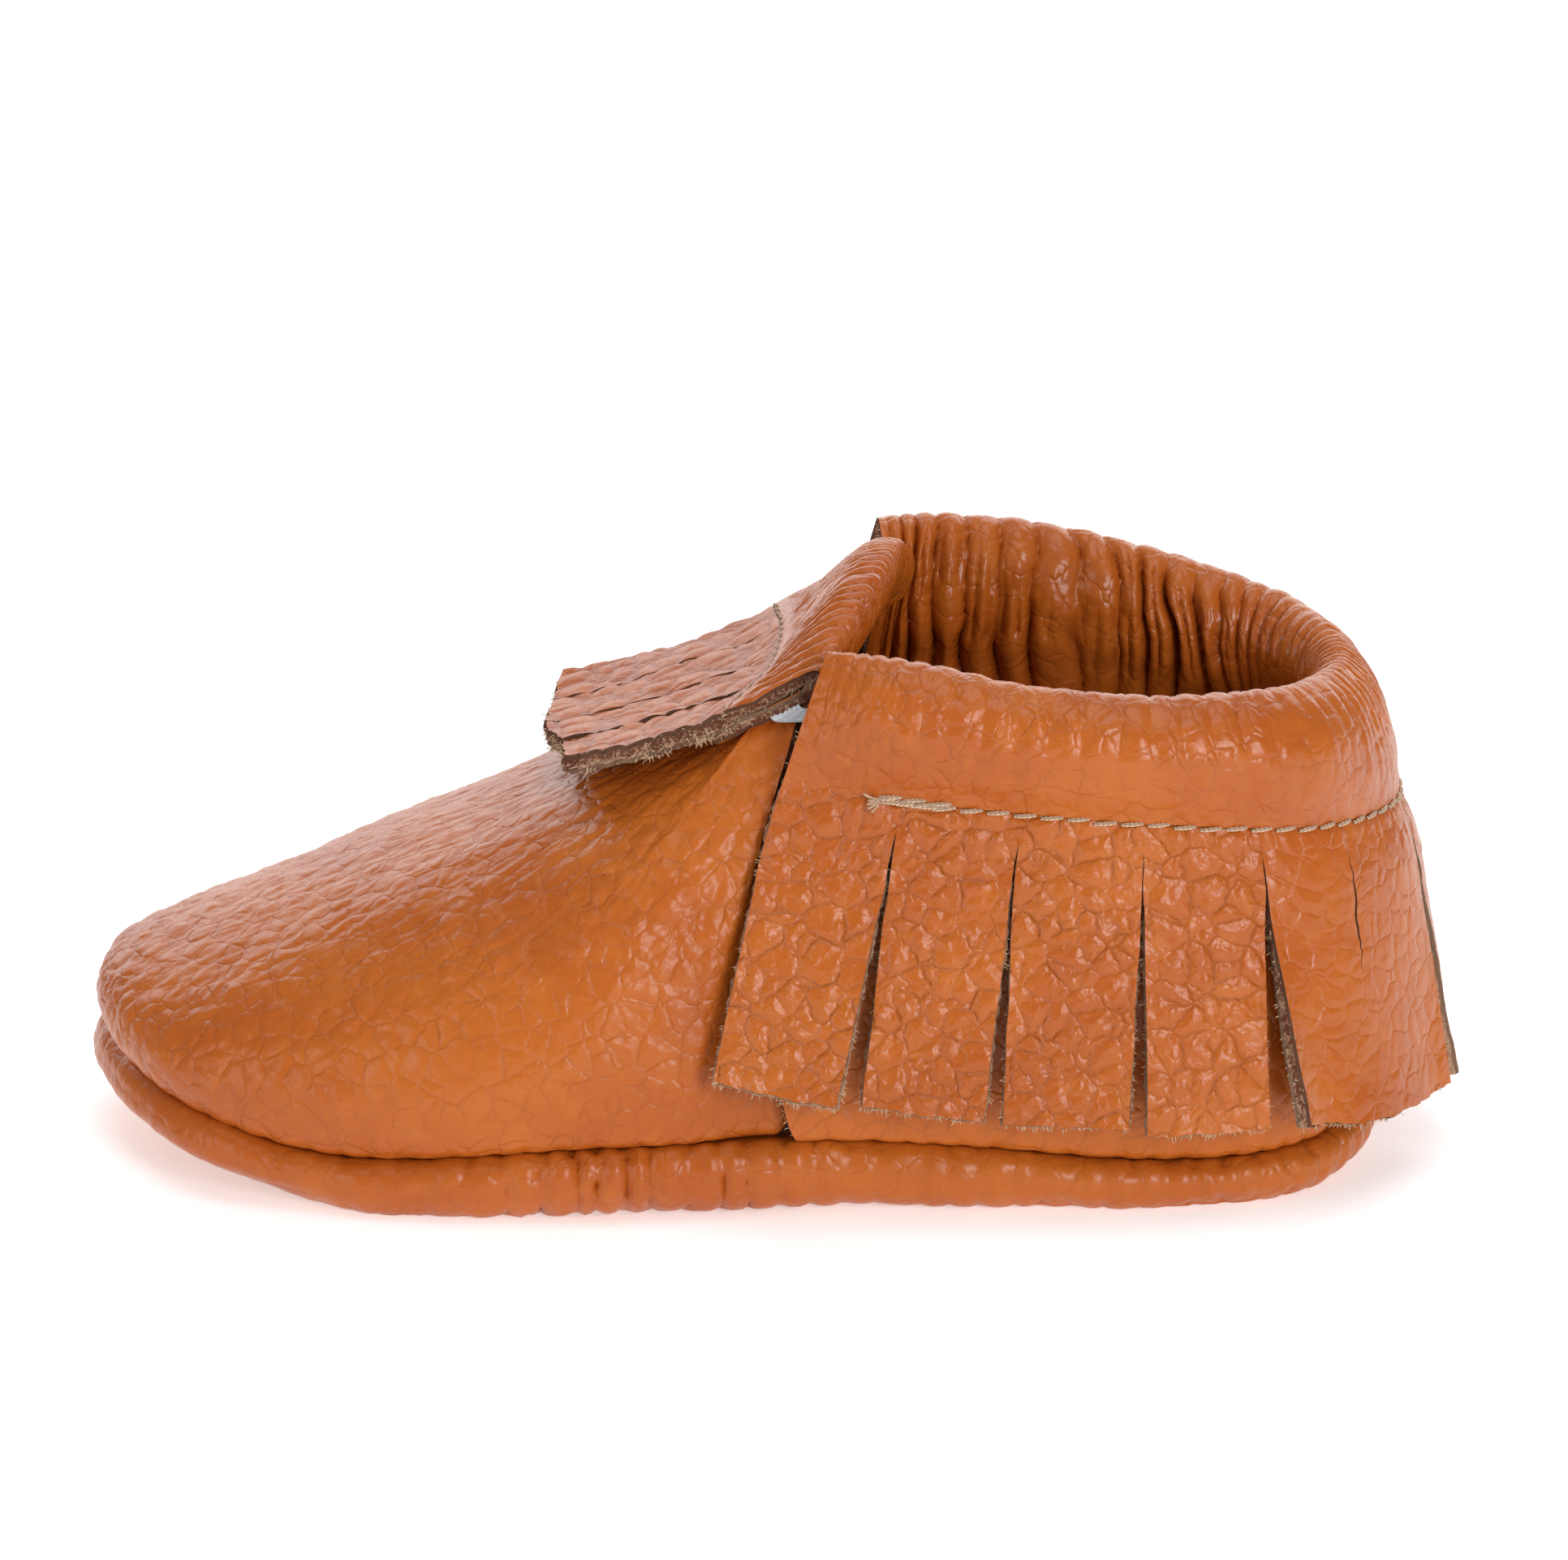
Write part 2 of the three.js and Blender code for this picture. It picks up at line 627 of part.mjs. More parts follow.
// ---- elastic and threads ----
// Upper and lower edge of the elastic band, all the way round inside both casings.
function elasticKeys() {
  const keys = [];
  for (const u of spread(10, 0.35, COLLAR_STATIONS - 0.35)) {
    const f = collarFrame(u);
    const side = -1.5;
    keys.push([
      rail(f.point, f.up, 0.74 * f.height, f.out, side),
      rail(f.point, f.up, 0.42 * f.height, f.out, side),
    ]);
  }
  keys.push(ELASTIC_CORNER.far.map(vec));
  for (const u of spread(8, 0.02, TONGUE_STATIONS - 0.02)) {
    const f = tongueFrame(u);
    keys.push([
      rail(f.point, f.up, 0.66 * f.height, f.out, -2.8),
      rail(f.point, f.up, 0.36 * f.height, f.out, -2.8),
    ]);
  }
  keys.push(ELASTIC_CORNER.near.map(vec));
  return keys.map(([a, b]) => [...a.toArray(), ...b.toArray()]);
}

function addElastic() {
  const keys = elasticKeys();
  const n = keys.length;
  const at = (u) => {
    const c = through((i) => keys[((i % n) + n) % n], u);
    return [vec(c.slice(0, 3)), vec(c.slice(3, 6))];
  };
  const rows = spread(64, 0, n).slice(0, -1).map((u) => {
    const [top, bottom] = at(u);
    const [before] = at(u - 0.05);
    const [after] = at(u + 0.05);
    const side = after.sub(before).cross(top.clone().sub(bottom)).normalize();
    const half = ELASTIC_THICKNESS / 2;
    return [
      rail(top, side, half),
      rail(bottom, side, half),
      rail(bottom, side, -half),
      rail(top, side, -half),
    ];
  });
  piece("elastic_band", skin(rows, { hoop: true }), COLORS.elastic);
}

function tube(points, radius, hoop = false) {
  const rows = points.map((p, i) => {
    const n = points.length;
    const before = hoop ? points[(i + n - 1) % n] : points[Math.max(i - 1, 0)];
    const after = hoop ? points[(i + 1) % n] : points[Math.min(i + 1, n - 1)];
    const run = after.clone().sub(before).normalize();
    const side = new THREE.Vector3(0, 0, 1).cross(run).normalize();
    const top = run.clone().cross(side);
    return [...Array(6).keys()].map((k) => {
      const a = (k * Math.PI) / 3;
      return rail(p, side, radius * Math.cos(a), top, radius * Math.sin(a));
    });
  });
  return skin(rows, { hoop });
}

function addThreads() {
  const lie = THREAD_RADIUS + 0.05;
  const collar = spread(60, 0.02, COLLAR_STATIONS - 0.02).map((u) => {
    const f = collarFrame(u);
    return rail(f.point, f.out, lie, f.up, -0.6);
  });
  piece("collar_thread", tube(collar, THREAD_RADIUS), COLORS.thread);
  const tongue = spread(20, 0.02, TONGUE_STATIONS - 0.02).map((u) => {
    const f = tongueFrame(u);
    return rail(f.point, f.out, lie + 0.1, f.up, -0.5);
  });
  piece("tongue_thread", tube(tongue, THREAD_RADIUS), COLORS.thread);
  const up = new THREE.Vector3(0, 0, 1);
  const seam = spread(64, 0, 2 * TOE).slice(0, -1).map((s) =>
    rail(upper(s, 0), seamOut(s), -(SEAM_ALLOWANCE + lie + 0.1), up, -0.6));
  piece("sole_thread", tube(seam, THREAD_RADIUS, true), COLORS.thread);
}

addSole();
addToePiece();
addHeelPiece();
addCollar();
addTongue();
addFringe();
addTongueStrips();
addElastic();
addThreads();

export default root;
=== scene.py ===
import itertools
import math

import bmesh
import bpy
import numpy as np
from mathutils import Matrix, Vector


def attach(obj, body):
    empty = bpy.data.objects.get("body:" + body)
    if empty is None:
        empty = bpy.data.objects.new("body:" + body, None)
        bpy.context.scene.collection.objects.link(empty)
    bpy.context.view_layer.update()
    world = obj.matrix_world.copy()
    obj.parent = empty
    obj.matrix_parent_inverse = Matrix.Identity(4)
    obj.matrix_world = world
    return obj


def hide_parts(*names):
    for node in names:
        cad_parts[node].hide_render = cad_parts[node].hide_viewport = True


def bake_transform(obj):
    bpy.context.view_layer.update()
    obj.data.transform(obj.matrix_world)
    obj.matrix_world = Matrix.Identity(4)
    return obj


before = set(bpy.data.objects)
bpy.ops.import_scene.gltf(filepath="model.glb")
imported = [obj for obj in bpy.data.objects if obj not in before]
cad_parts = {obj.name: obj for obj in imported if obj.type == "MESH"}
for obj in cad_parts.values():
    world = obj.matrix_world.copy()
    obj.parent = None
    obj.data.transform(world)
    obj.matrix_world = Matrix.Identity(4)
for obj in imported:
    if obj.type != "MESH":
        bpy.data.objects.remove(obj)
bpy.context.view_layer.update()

MM = 0.001
CENTRE_SHIFT = -0.7  # the part's own origin, along x, in the row frame
Z = np.array([0.0, 0.0, 1.0])

# ---- driving dimensions, the same as the CAD part's ----
LEATHER = 1.5
GAP = 0.3
SEAM_ALLOWANCE = 3.4
LAP = 0.32  # heel piece over toe piece, in columns
COLLAR_DROP = 2.4  # stitch line to the top of the fringe slots
HINGE_DROP = COLLAR_DROP + GAP + LEATHER / 2
FRINGE_LENGTH = 26.2
FRINGE_PITCHES = 12
SLIT_LENGTH = 11.5
SLIT_SHARE = 0.42  # its place across the wide strip
TONGUE_REACH = [13.2, 18.6, 22.0, 21.6, 20.2]  # edges of the flap's strips, near side first
ELASTIC_THICKNESS = 0.8
ELASTIC_FAR = [[10.2, 18.2, 51.6], [7.6, 19.0, 48.4]]
ELASTIC_NEAR = [[5.5, -18.3, 49.2], [4.8, -18.8, 47.5]]
STITCH_PITCH = 2.5
THREAD_RADIUS = 0.21

COLUMNS = [
    [[59.5, 0, 6.0], [63.4, 0, 16]],
    [[53.6, -17.5, 5.2], [56.2, -19.6, 14]],
    [[38, -23.2, 4.8], [38.5, -26.3, 14]],
    [[10, -25.5, 7.3], [9, -27.3, 14]],
    [[-14, -29.3, 7.3], [-16, -33.6, 14], [-9, -29, 30]],
    [[-40, -28.2, 5.6], [-43, -34, 13.5], [-31, -27, 23.8]],
    [[-58, -20.4, 8.8], [-63, -24, 17.5], [-50, -17, 19.6]],
    [[-67, 0, 11], [-71.8, 0, 23.4], [-54, 0, 17.8]],
]
TOE = len(COLUMNS) - 1
ROUND = 2 * TOE
UPPER_REACH = 10
COLLAR_STITCH = [
    [2.3, -23.0, 43.2], [10, -23.9, 41.8], [23, -24.3, 40.6], [38, -23.8, 39.4],
    [52.0, -19.2, 37.9], [59.7, -9.2, 36.8], [61.8, 0, 36.5],
]
COLLAR_CREST = [
    [6.3, -20.0, 54.9], [13, -22.0, 54.9], [25, -22.9, 54.0], [38, -22.2, 52.8],
    [49, -17.3, 51.6], [54.6, -8.0, 50.7], [55.9, 0, 50.3],
]
FAR_LIFT = 3.0
NEAR_SAG = 1.5
FAR_SKEW = 0.16
COLLAR_STATION = [6, 4.25, 3, 1, -0.667]
COLLAR_END_COLUMN = 3.6
TONGUE_STITCH = [
    [-0.6, 18.2, 49.0], [0.4, 9.3, 49.8], [0.7, 0, 50.0], [-0.2, -9.1, 49.7], [-3.8, -17.8, 48.2],
]
TONGUE_CREST = [
    [12.6, 17.0, 56.2], [11.4, 9.8, 58.8], [10.6, 0, 59.6], [8.4, -9.8, 57.8], [5.4, -18.0, 52.8],
]
TONGUE_FIRST_COLUMN = 4.4
COLLAR_SECTION = [
    [-0.15, 0], [0, 0], [0.27, 2.3], [0.56, 3.3], [0.83, 2.2], [1, -0.6],
    [0.93, -3.7], [0.7, -5.8], [0.38, -6.3], [0.1, -5.4], [-0.3, -5.6],
]
TONGUE_SECTION = [
    [-0.1, 0.2], [0, 0], [0.27, 0.5], [0.55, 1.0], [0.84, 0.9], [1, -1.0],
    [0.95, -3.8], [0.74, -6.3], [0.4, -6.9], [0.1, -6.2], [-0.22, -6.0],
]
COLLAR_ENTRY = [0.14, -1.9]
TONGUE_ENTRY = [0.12, -2.7]
COLLAR_LINING = -5.4
TONGUE_LINING = -6.2
# Strips: pitches covered, flare at top and bottom, sideways lean, in degrees, then how far each
# side curls outwards at the bottom.
FRINGE = [
    (0, 0.97, 18, 20, -1, 0.1, 0.3),
    (0.97, 1.93, 12, 15, -1, 0.2, 0.1),
    (1.93, 2.9, 10, 13, 2, 0.1, 0.3),
    (2.9, 3.84, 9, 12, 5, 0.0, 0.2),
    (3.84, 5.78, 9, 13, 3, 2.1, 1.2),
    (5.78, 6.8, 10, 11, 0, 0.6, 0.2),
    (6.8, 7.86, 10, 14, 0, 0.2, 0.4),
    (7.86, 8.9, 9, 12, -3, 0.1, 0.5),
    (8.9, 9.93, 10, 13, -2, 0.3, 0.1),
    (9.93, 10.97, 12, 15, 1, 0.2, 0.3),
    (10.97, 12, 21, 22, 3, 0.2, 0.1),
]
# Rough lengths of the sheets, which only set how many vertices they get.
SOLE_ROUND = 330
SOLE_SIDE = 16
TOE_ROUND = 205
HEEL_ROUND = 150
WALL_HIGH = 46
COLLAR_ROUND = 185
COLLAR_WRAP = 38
TONGUE_WIDE = 42
TONGUE_WRAP = 34
FLAP_STRIP_WIDE = 11
FINE = 0.45  # spacing of the leather's vertices
rng = np.random.default_rng(7)


# ---- small maths on arrays of points ----
def unit(v):
    return v / np.maximum(np.linalg.norm(v, axis=-1, keepdims=True), 1e-12)


def mix(a, b, t):
    return a + (b - a) * t


def smooth(low, high, x):
    t = np.clip((x - low) / (high - low), 0, 1)
    return t * t * (3 - 2 * t)


def catmull_rom(a, b, c, d, t):
    """The curve from b to c."""
    cube = 3 * b - a - 3 * c + d
    return b + 0.5 * t * ((c - a) + t * ((2 * a - 5 * b + 4 * c - d) + t * cube))


def through(key, u):
    """The curve through key(i), an array of rows for an array of whole numbers."""
    i = np.floor(u).astype(int)
    return catmull_rom(key(i - 1), key(i), key(i + 1), key(i + 2), (u - i)[..., None])


def along(points, u):
    """The same through an open list, carried on straight past both ends."""
    p = np.asarray(points, float)
    padded = np.vstack([2 * p[0] - p[1], p, 2 * p[-1] - p[-2]])
    return through(lambda i: padded[i + 1], np.clip(u, 0, len(p) - 1 - 1e-9))


def sweep(controls, u):
    """For each station's own list of control points (n, k, 3), the curve at the places u."""
    first = 2 * controls[:, :1] - controls[:, 1:2]
    last = 2 * controls[:, -1:] - controls[:, -2:-1]
    padded = np.concatenate([first, controls, last], 1).transpose(1, 0, 2)
    v = np.clip(u, 0, controls.shape[1] - 1 - 1e-9)
    i = np.floor(v).astype(int)
    curve = catmull_rom(*(padded[i + k] for k in range(4)), (v - i)[:, None, None])
    return curve.transpose(1, 0, 2)


def hashed(i, j, k, seed):
    h = (i * 374761393 + j * 668265263 + k * 1442695041 + seed * 1274126177) & 0xFFFFFFFF
    h = ((h ^ (h >> 13)) * 1274126177) & 0xFFFFFFFF
    return ((h ^ (h >> 16)) & 0xFFFF) / 65535.0


def noise(p, size, seed=0):
    """Smooth noise from -1 to 1, with lumps of the size given."""
    q = np.asarray(p, float) / size
    c = np.floor(q).astype(np.int64)
    f = q - c
    f = f * f * (3 - 2 * f)
    total = 0
    for dx, dy, dz in itertools.product((0, 1), repeat=3):
        w = f[..., 0] if dx else 1 - f[..., 0]
        w = w * (f[..., 1] if dy else 1 - f[..., 1])
        w = w * (f[..., 2] if dz else 1 - f[..., 2])
        total = total + w * hashed(c[..., 0] + dx, c[..., 1] + dy, c[..., 2] + dz, seed)
    return 2 * total - 1


def wave(x, size, seed=0):
    """The same along one number."""
    x = np.asarray(x, float)
    return noise(np.stack([x, 0 * x + 0.5, 0 * x + 0.5], -1), size, seed)


def pebbles(p, size, seed=0):
    """The grain's cells: 0 in the creases between pebbles, 1 on top of them."""
    warp = np.stack([noise(p, 1.7 * size, seed + k) for k in (1, 2, 3)], -1)
    q = p / size + 0.28 * warp
    c = np.floor(q).astype(np.int64)
    first = np.full(q.shape[:-1], 9.0)
    second = first.copy()
    for dx, dy, dz in itertools.product((-1, 0, 1), repeat=3):
        i, j, k = c[..., 0] + dx, c[..., 1] + dy, c[..., 2] + dz
        ax = i + hashed(i, j, k, seed + 11) - q[..., 0]
        ay = j + hashed(i, j, k, seed + 12) - q[..., 1]
        az = k + hashed(i, j, k, seed + 13) - q[..., 2]
        d = np.sqrt(ax * ax + ay * ay + az * az)
        second = np.minimum(second, np.maximum(first, d))
        first = np.minimum(first, d)
    return np.sqrt(np.clip(1.45 * (second - first), 0, 1))


def ridges(count, sharp):
    """Rounded ridges, 1, with sharp valleys, 0, at the whole numbers."""
    return np.abs(np.sin(np.pi * count)) ** sharp


def folds(x, pitch, seed=0, sharp=0.75):
    """Ridges along x of about the pitch given."""
    return ridges(x / pitch + 0.3 * wave(x, 2.3 * pitch, seed), sharp)


def arc(points):
    """Running length along rows of points (n, ..., 3), from 0."""
    step = np.linalg.norm(np.diff(points, axis=0), axis=-1)
    return np.concatenate([np.zeros_like(step[:1]), np.cumsum(step, 0)])


def climb(face):
    """Running length across a grid of points, from its first column."""
    return arc(np.moveaxis(face, 1, 0)).T


def flat(x, y):
    """The points of a sheet laid out flat, from the running lengths both ways."""
    x, y = np.broadcast_arrays(x, y)
    return np.stack([x, y, 0 * x], -1)


def even(count):
    return np.linspace(0, 1, count)


def steps(length, spacing=1.0):
    """How many vertices a length gets, at so many times the usual spacing."""
    return int(length / (spacing * FINE))


# ---- the two casings ----
def both_sides(near, lift, sag):
    """The far side is the near side mirrored, skewed and lifted; the near side's middle sags."""
    far = [
        [x - FAR_SKEW * y * max(0, (40 - x) / 40), -y, z + lift * float(smooth(60, 20, x))]
        for x, y, z in reversed(near[:-1])
    ]
    near = [[x, y, z - sag * float(smooth(10, 24, x) * smooth(60, 30, x))] for x, y, z in near]
    return near + far


STITCH = both_sides(COLLAR_STITCH, 0, 0)
CREST = both_sides(COLLAR_CREST, FAR_LIFT, NEAR_SAG)
COLLAR_LAST = len(STITCH) - 1
TONGUE_LAST = len(TONGUE_STITCH) - 1
HEEL = COLLAR_LAST / 2


def casing_frame(stitch, crest, u, tangent):
    point = along(stitch, u)
    rise = along(crest, u) - point
    height = np.linalg.norm(rise, axis=-1, keepdims=True)
    up = rise / height
    return point, up, unit(np.cross(tangent, up)), height


def collar_frame(u):
    ahead = along(STITCH, np.minimum(u + 0.02, COLLAR_LAST))
    tangent = unit(ahead - along(STITCH, np.maximum(u - 0.02, 0)))
    return casing_frame(STITCH, CREST, u, tangent)


def tongue_frame(u):
    return casing_frame(TONGUE_STITCH, TONGUE_CREST, u, np.array([0.0, -1.0, 0.0]))


def fullness(u, last, flat):
    return flat + (1 - flat) * smooth(-0.2, 1.3, np.minimum(u, last - u))


def casing(found, section, lining, full, share):
    """Outer face of a casing, from its stitch line over the crest and down inside."""
    point, up, out, height = found
    f, g = along(section, share * (len(section) - 1)).T
    full = full[:, None]
    slack = np.where(g > 0, g * full, np.where(g < lining, lining + (g - lining) * full, g))
    rise = (f[None, :] * height)[..., None]
    return point[:, None] + up[:, None] * rise + out[:, None] * slack[..., None]


# ---- the body of the shoe ----
def collar_station(s):
    station = np.array([COLLAR_LAST - v for v in reversed(COLLAR_STATION[1:])] + COLLAR_STATION)
    first = len(COLLAR_STATION) - 1
    key = lambda i: station[np.clip(i + first, 0, len(station) - 1)][..., None]
    return np.maximum(0, through(key, s)[..., 0])


def throat(s):
    """End of the upper inside the casings above column s, and the direction of its last stretch."""
    far = s < 0
    near = np.minimum(np.abs(s), ROUND - np.abs(s))
    station = collar_station(np.minimum(near, COLLAR_END_COLUMN))
    point, up, out, height = collar_frame(np.where(far, COLLAR_LAST - station, station))
    a = point + up * (COLLAR_ENTRY[0] * height) + out * COLLAR_ENTRY[1]
    w = (np.maximum(near, TONGUE_FIRST_COLUMN) - TONGUE_FIRST_COLUMN) / (TOE - TONGUE_FIRST_COLUMN)
    station = 0.15 + (TONGUE_LAST / 2 - 0.15) * w
    point, over, out, height = tongue_frame(np.where(far, station, TONGUE_LAST - station))
    b = point + over * (TONGUE_ENTRY[0] * height) + out * TONGUE_ENTRY[1]
    t = smooth(COLLAR_END_COLUMN, TONGUE_FIRST_COLUMN, near)[..., None]
    return mix(a, b, t), unit(mix(up, over, t))


def column_keys():
    rows = []
    for j in range(ROUND):
        near = COLUMNS[min(j, ROUND - j)]
        flip = np.array([1, -1 if j > TOE else 1, 1])
        point, up = throat(np.array([float(j - ROUND if j > TOE else j)]))
        high = np.array(near[2]) * flip if len(near) > 2 else point[0] - up[0] * UPPER_REACH
        rows.append(np.concatenate([np.array(near[0]) * flip, np.array(near[1]) * flip, high]))
    return np.array(rows)


COLUMN_KEYS = column_keys()


def upper(s, t):
    """Point of the upper's outer face: s round the shoe from the heel, t up from the sole seam."""
    s, t = np.broadcast_arrays(np.asarray(s, float), np.asarray(t, float))
    c = through(lambda i: COLUMN_KEYS[i % ROUND], s)
    point, up = throat(np.where(s > TOE, s - ROUND, s))
    near = np.minimum(np.abs(s), ROUND - np.abs(s))
    straight = (1 - smooth(3.55, 4.2, near))[..., None]
    high = mix(c[..., 6:9], point - up * UPPER_REACH, straight)
    t = t[..., None]
    r = 1 - t
    low, middle = c[..., :3] * r**3, c[..., 3:6] * (3 * r * r * t)
    return low + middle + high * (3 * r * t * t) + point * t**3


def seam_out(s):
    d = upper(s + 0.02, 0 * s) - upper(s - 0.02, 0 * s)
    return unit(np.stack([-d[..., 1], d[..., 0], 0 * d[..., 0]], -1))


def edge_column(t):
    return 3.25 + 0.26 * t


def normals(grid, sign, closed=False):
    if closed:
        di = np.roll(grid, -1, 0) - np.roll(grid, 1, 0)
    else:
        di = np.gradient(grid, axis=0)
    return unit(np.cross(di, np.gradient(grid, axis=1))) * sign


# ---- meshes ----
class Piece:
    """Vertices, faces and per-vertex values gathered from several patches into one mesh."""

    def __init__(self):
        self.points, self.grain, self.faces, self.slots = [], [], [], []
        # Per vertex, besides the fine grain's strength: on a grain face, painted shade in creases and fold
        # valleys, partly their own darker tint; on raw edges and the flesh side, depth into the sheet from
        # 0 at the grain to 1 at the flesh side.
        self.values = {"painted_shade_and_depth": [], "fine": []}
        self.count = 0

    def add(self, points, grain, painted_shade_and_depth, fine=1.0):
        first = self.count
        points = points.reshape(-1, 3)
        self.points.append(points)
        self.grain.append(np.broadcast_to(grain.reshape(-1, 3), points.shape))
        for name, value in (("painted_shade_and_depth", painted_shade_and_depth), ("fine", fine)):
            row = np.asarray(value, float).reshape(-1)
            self.values[name].append(np.broadcast_to(row, len(points)))
        self.count += len(points)
        return first

    def face(self, ids, slot):
        self.faces += ids.tolist()
        self.slots.append(np.full(len(ids), slot))

    def mesh(self, name, materials, weld=False):
        me = bpy.data.meshes.new(name)
        points = np.concatenate(self.points)
        points = (points + [CENTRE_SHIFT, 0, 0]) * MM
        me.from_pydata(points, [], self.faces)
        for m in materials:
            me.materials.append(m)
        me.polygons.foreach_set("material_index", np.concatenate(self.slots).astype(np.int32))
        me.polygons.foreach_set("use_smooth", np.ones(len(me.polygons), bool))
        a = me.attributes.new("grain", "FLOAT_VECTOR", "POINT")
        a.data.foreach_set("vector", np.concatenate(self.grain).astype(np.float32).ravel())
        for key, parts in self.values.items():
            a = me.attributes.new(key, "FLOAT", "POINT")
            a.data.foreach_set("value", np.concatenate(parts).astype(np.float32))
        me.update()
        if weld:  # join the vertices that lie on one spot
            bm = bmesh.new()
            bm.from_mesh(me)
            bmesh.ops.remove_doubles(bm, verts=bm.verts, dist=1e-7)
            bm.to_mesh(me)
            bm.free()
        me.set_sharp_from_angle(angle=math.radians(58))
        return add_object(name, me)


def add_object(name, data):
    ob = bpy.data.objects.new(name, data)
    bpy.context.scene.collection.objects.link(ob)
    return ob


def sheet(piece, face, sign, relief=0.0, painted_shade_and_depth=0.0, grain=None, fine=1.0, thick=LEATHER,
          closed=False, mask=None, hidden_start=False, rough=0.1, fray=0.0, slots=(0, 1, 2), seed=0):
    """A sheet of leather under the grid of points of its grain face, with raw edges all round.

    sign turns the grain side outwards, and slots are the materials of grain, edge and flesh side.
    Returns the raw edge: its points, outward and inward directions and how long each bit is."""
    ni, nj = face.shape[:2]
    n = normals(face, sign, closed)
    relief = np.broadcast_to(relief, (ni, nj))
    top = face + n * relief[..., None]
    back = face + n * (0.5 * relief - thick)[..., None]
    grain = face if grain is None else grain
    # The grain face gets the painted shade of its creases and valleys; the flesh side gets the greatest
    # depth.
    a = piece.add(top, grain, np.broadcast_to(painted_shade_and_depth, (ni, nj)), np.broadcast_to(fine, (ni, nj)))
    b = piece.add(back, grain, 1.0)
    cells_i = ni if closed else ni - 1
    mask = np.ones((cells_i, nj - 1), bool) if mask is None else mask
    i, j = np.nonzero(mask)
    nxt = (i + 1) % ni
    quads = np.stack([i * nj + j, nxt * nj + j, nxt * nj + j + 1, i * nj + j + 1], 1)
    if sign < 0:
        quads = quads[:, ::-1]
    piece.face(quads + a, slots[0])
    piece.face(quads[:, ::-1] + b, slots[2])
    edges = np.concatenate([quads[:, [k, (k + 1) % 4]] for k in range(4)])
    keys = edges[:, 0].astype(np.int64) * (ni * nj) + edges[:, 1]
    back_keys = edges[:, 1].astype(np.int64) * (ni * nj) + edges[:, 0]
    rim = edges[~np.isin(keys, back_keys)]
    if hidden_start:
        rim = rim[~((rim[:, 0] % nj == 0) & (rim[:, 1] % nj == 0))]
    if not len(rim):
        return None
    flat_top, flat_back, flat_n = (x.reshape(-1, 3) for x in (top, back, n))
    run = flat_top[rim[:, 1]] - flat_top[rim[:, 0]]
    length = np.linalg.norm(run, axis=1)
    side = unit(np.cross(run, flat_n[rim[:, 0]]))
    outward = np.zeros_like(flat_top)
    np.add.at(outward, rim[:, 0], side)
    np.add.at(outward, rim[:, 1], side)
    outward = unit(outward)
    used, where = np.unique(rim, return_inverse=True)
    where = where.reshape(rim.shape)
    rows = 4
    rings = [a + used]
    for k in range(1, rows):
        p = mix(flat_top[used], flat_back[used], k / rows)
        bump = noise(p, 0.45, seed + 5) + 0.7 * noise(p, 0.2, seed + 6)
        tuft = fray * k / rows * np.clip(0.55 + noise(p, 0.9, seed + 7) + 0.6 * bump, 0, 2)
        p = p + outward[used] * (rough * (0.35 + bump) + tuft)[:, None]
        rings.append(piece.add(p, p, k / rows) + np.arange(len(used)))
    rings.append(b + used)
    for low, high in zip(rings, rings[1:]):
        x, y = where[:, 0], where[:, 1]
        piece.face(np.stack([low[y], low[x], high[x], high[y]], 1), slots[1])
    return {"top": flat_top, "back": flat_back, "normal": flat_n, "out": outward, "rim": rim,
            "length": length}


def tubes(piece, paths, radii, sides, slot):
    """Closed tubes along paths (m, k, 3) with radii (m, k)."""
    m, k = paths.shape[:2]
    run = unit(np.gradient(paths, axis=1))
    helper = np.where(np.abs(run[..., 2:3]) > 0.9, np.array([1.0, 0, 0]), Z)
    x = unit(np.cross(run, helper))
    y = np.cross(run, x)
    angle = 2 * np.pi * np.arange(sides) / sides
    ring = x[:, :, None] * np.cos(angle)[:, None] + y[:, :, None] * np.sin(angle)[:, None]
    points = paths[:, :, None] + ring * radii[:, :, None, None]
    length = np.cumsum(np.linalg.norm(np.diff(paths, axis=1, prepend=paths[:, :1]), axis=-1), 1)
    grain = np.zeros(points.shape)
    grain[..., 0] = length[:, :, None]
    grain[..., 1] = angle
    grain[..., 2] = np.arange(m)[:, None, None] * 3.7
    first = piece.add(points, grain, 0.0)
    tube, step, s = np.meshgrid(np.arange(m), np.arange(k - 1), np.arange(sides), indexing="ij")
    at = lambda st, sd: first + (tube * k + st) * sides + sd % sides
    quads = np.stack([at(step, s), at(step, s + 1), at(step + 1, s + 1), at(step + 1, s)], -1)
    piece.face(quads.reshape(-1, 4)[:, ::-1], slot)
    start = first + np.arange(m)[:, None] * k * sides
    piece.face(start + np.arange(sides), slot)
    piece.face((start + (k - 1) * sides + np.arange(sides))[:, ::-1], slot)


FIBRE_SLOT = 3
FIBRE_RADIUS = 0.075
FIBRE_TIP = 0.02


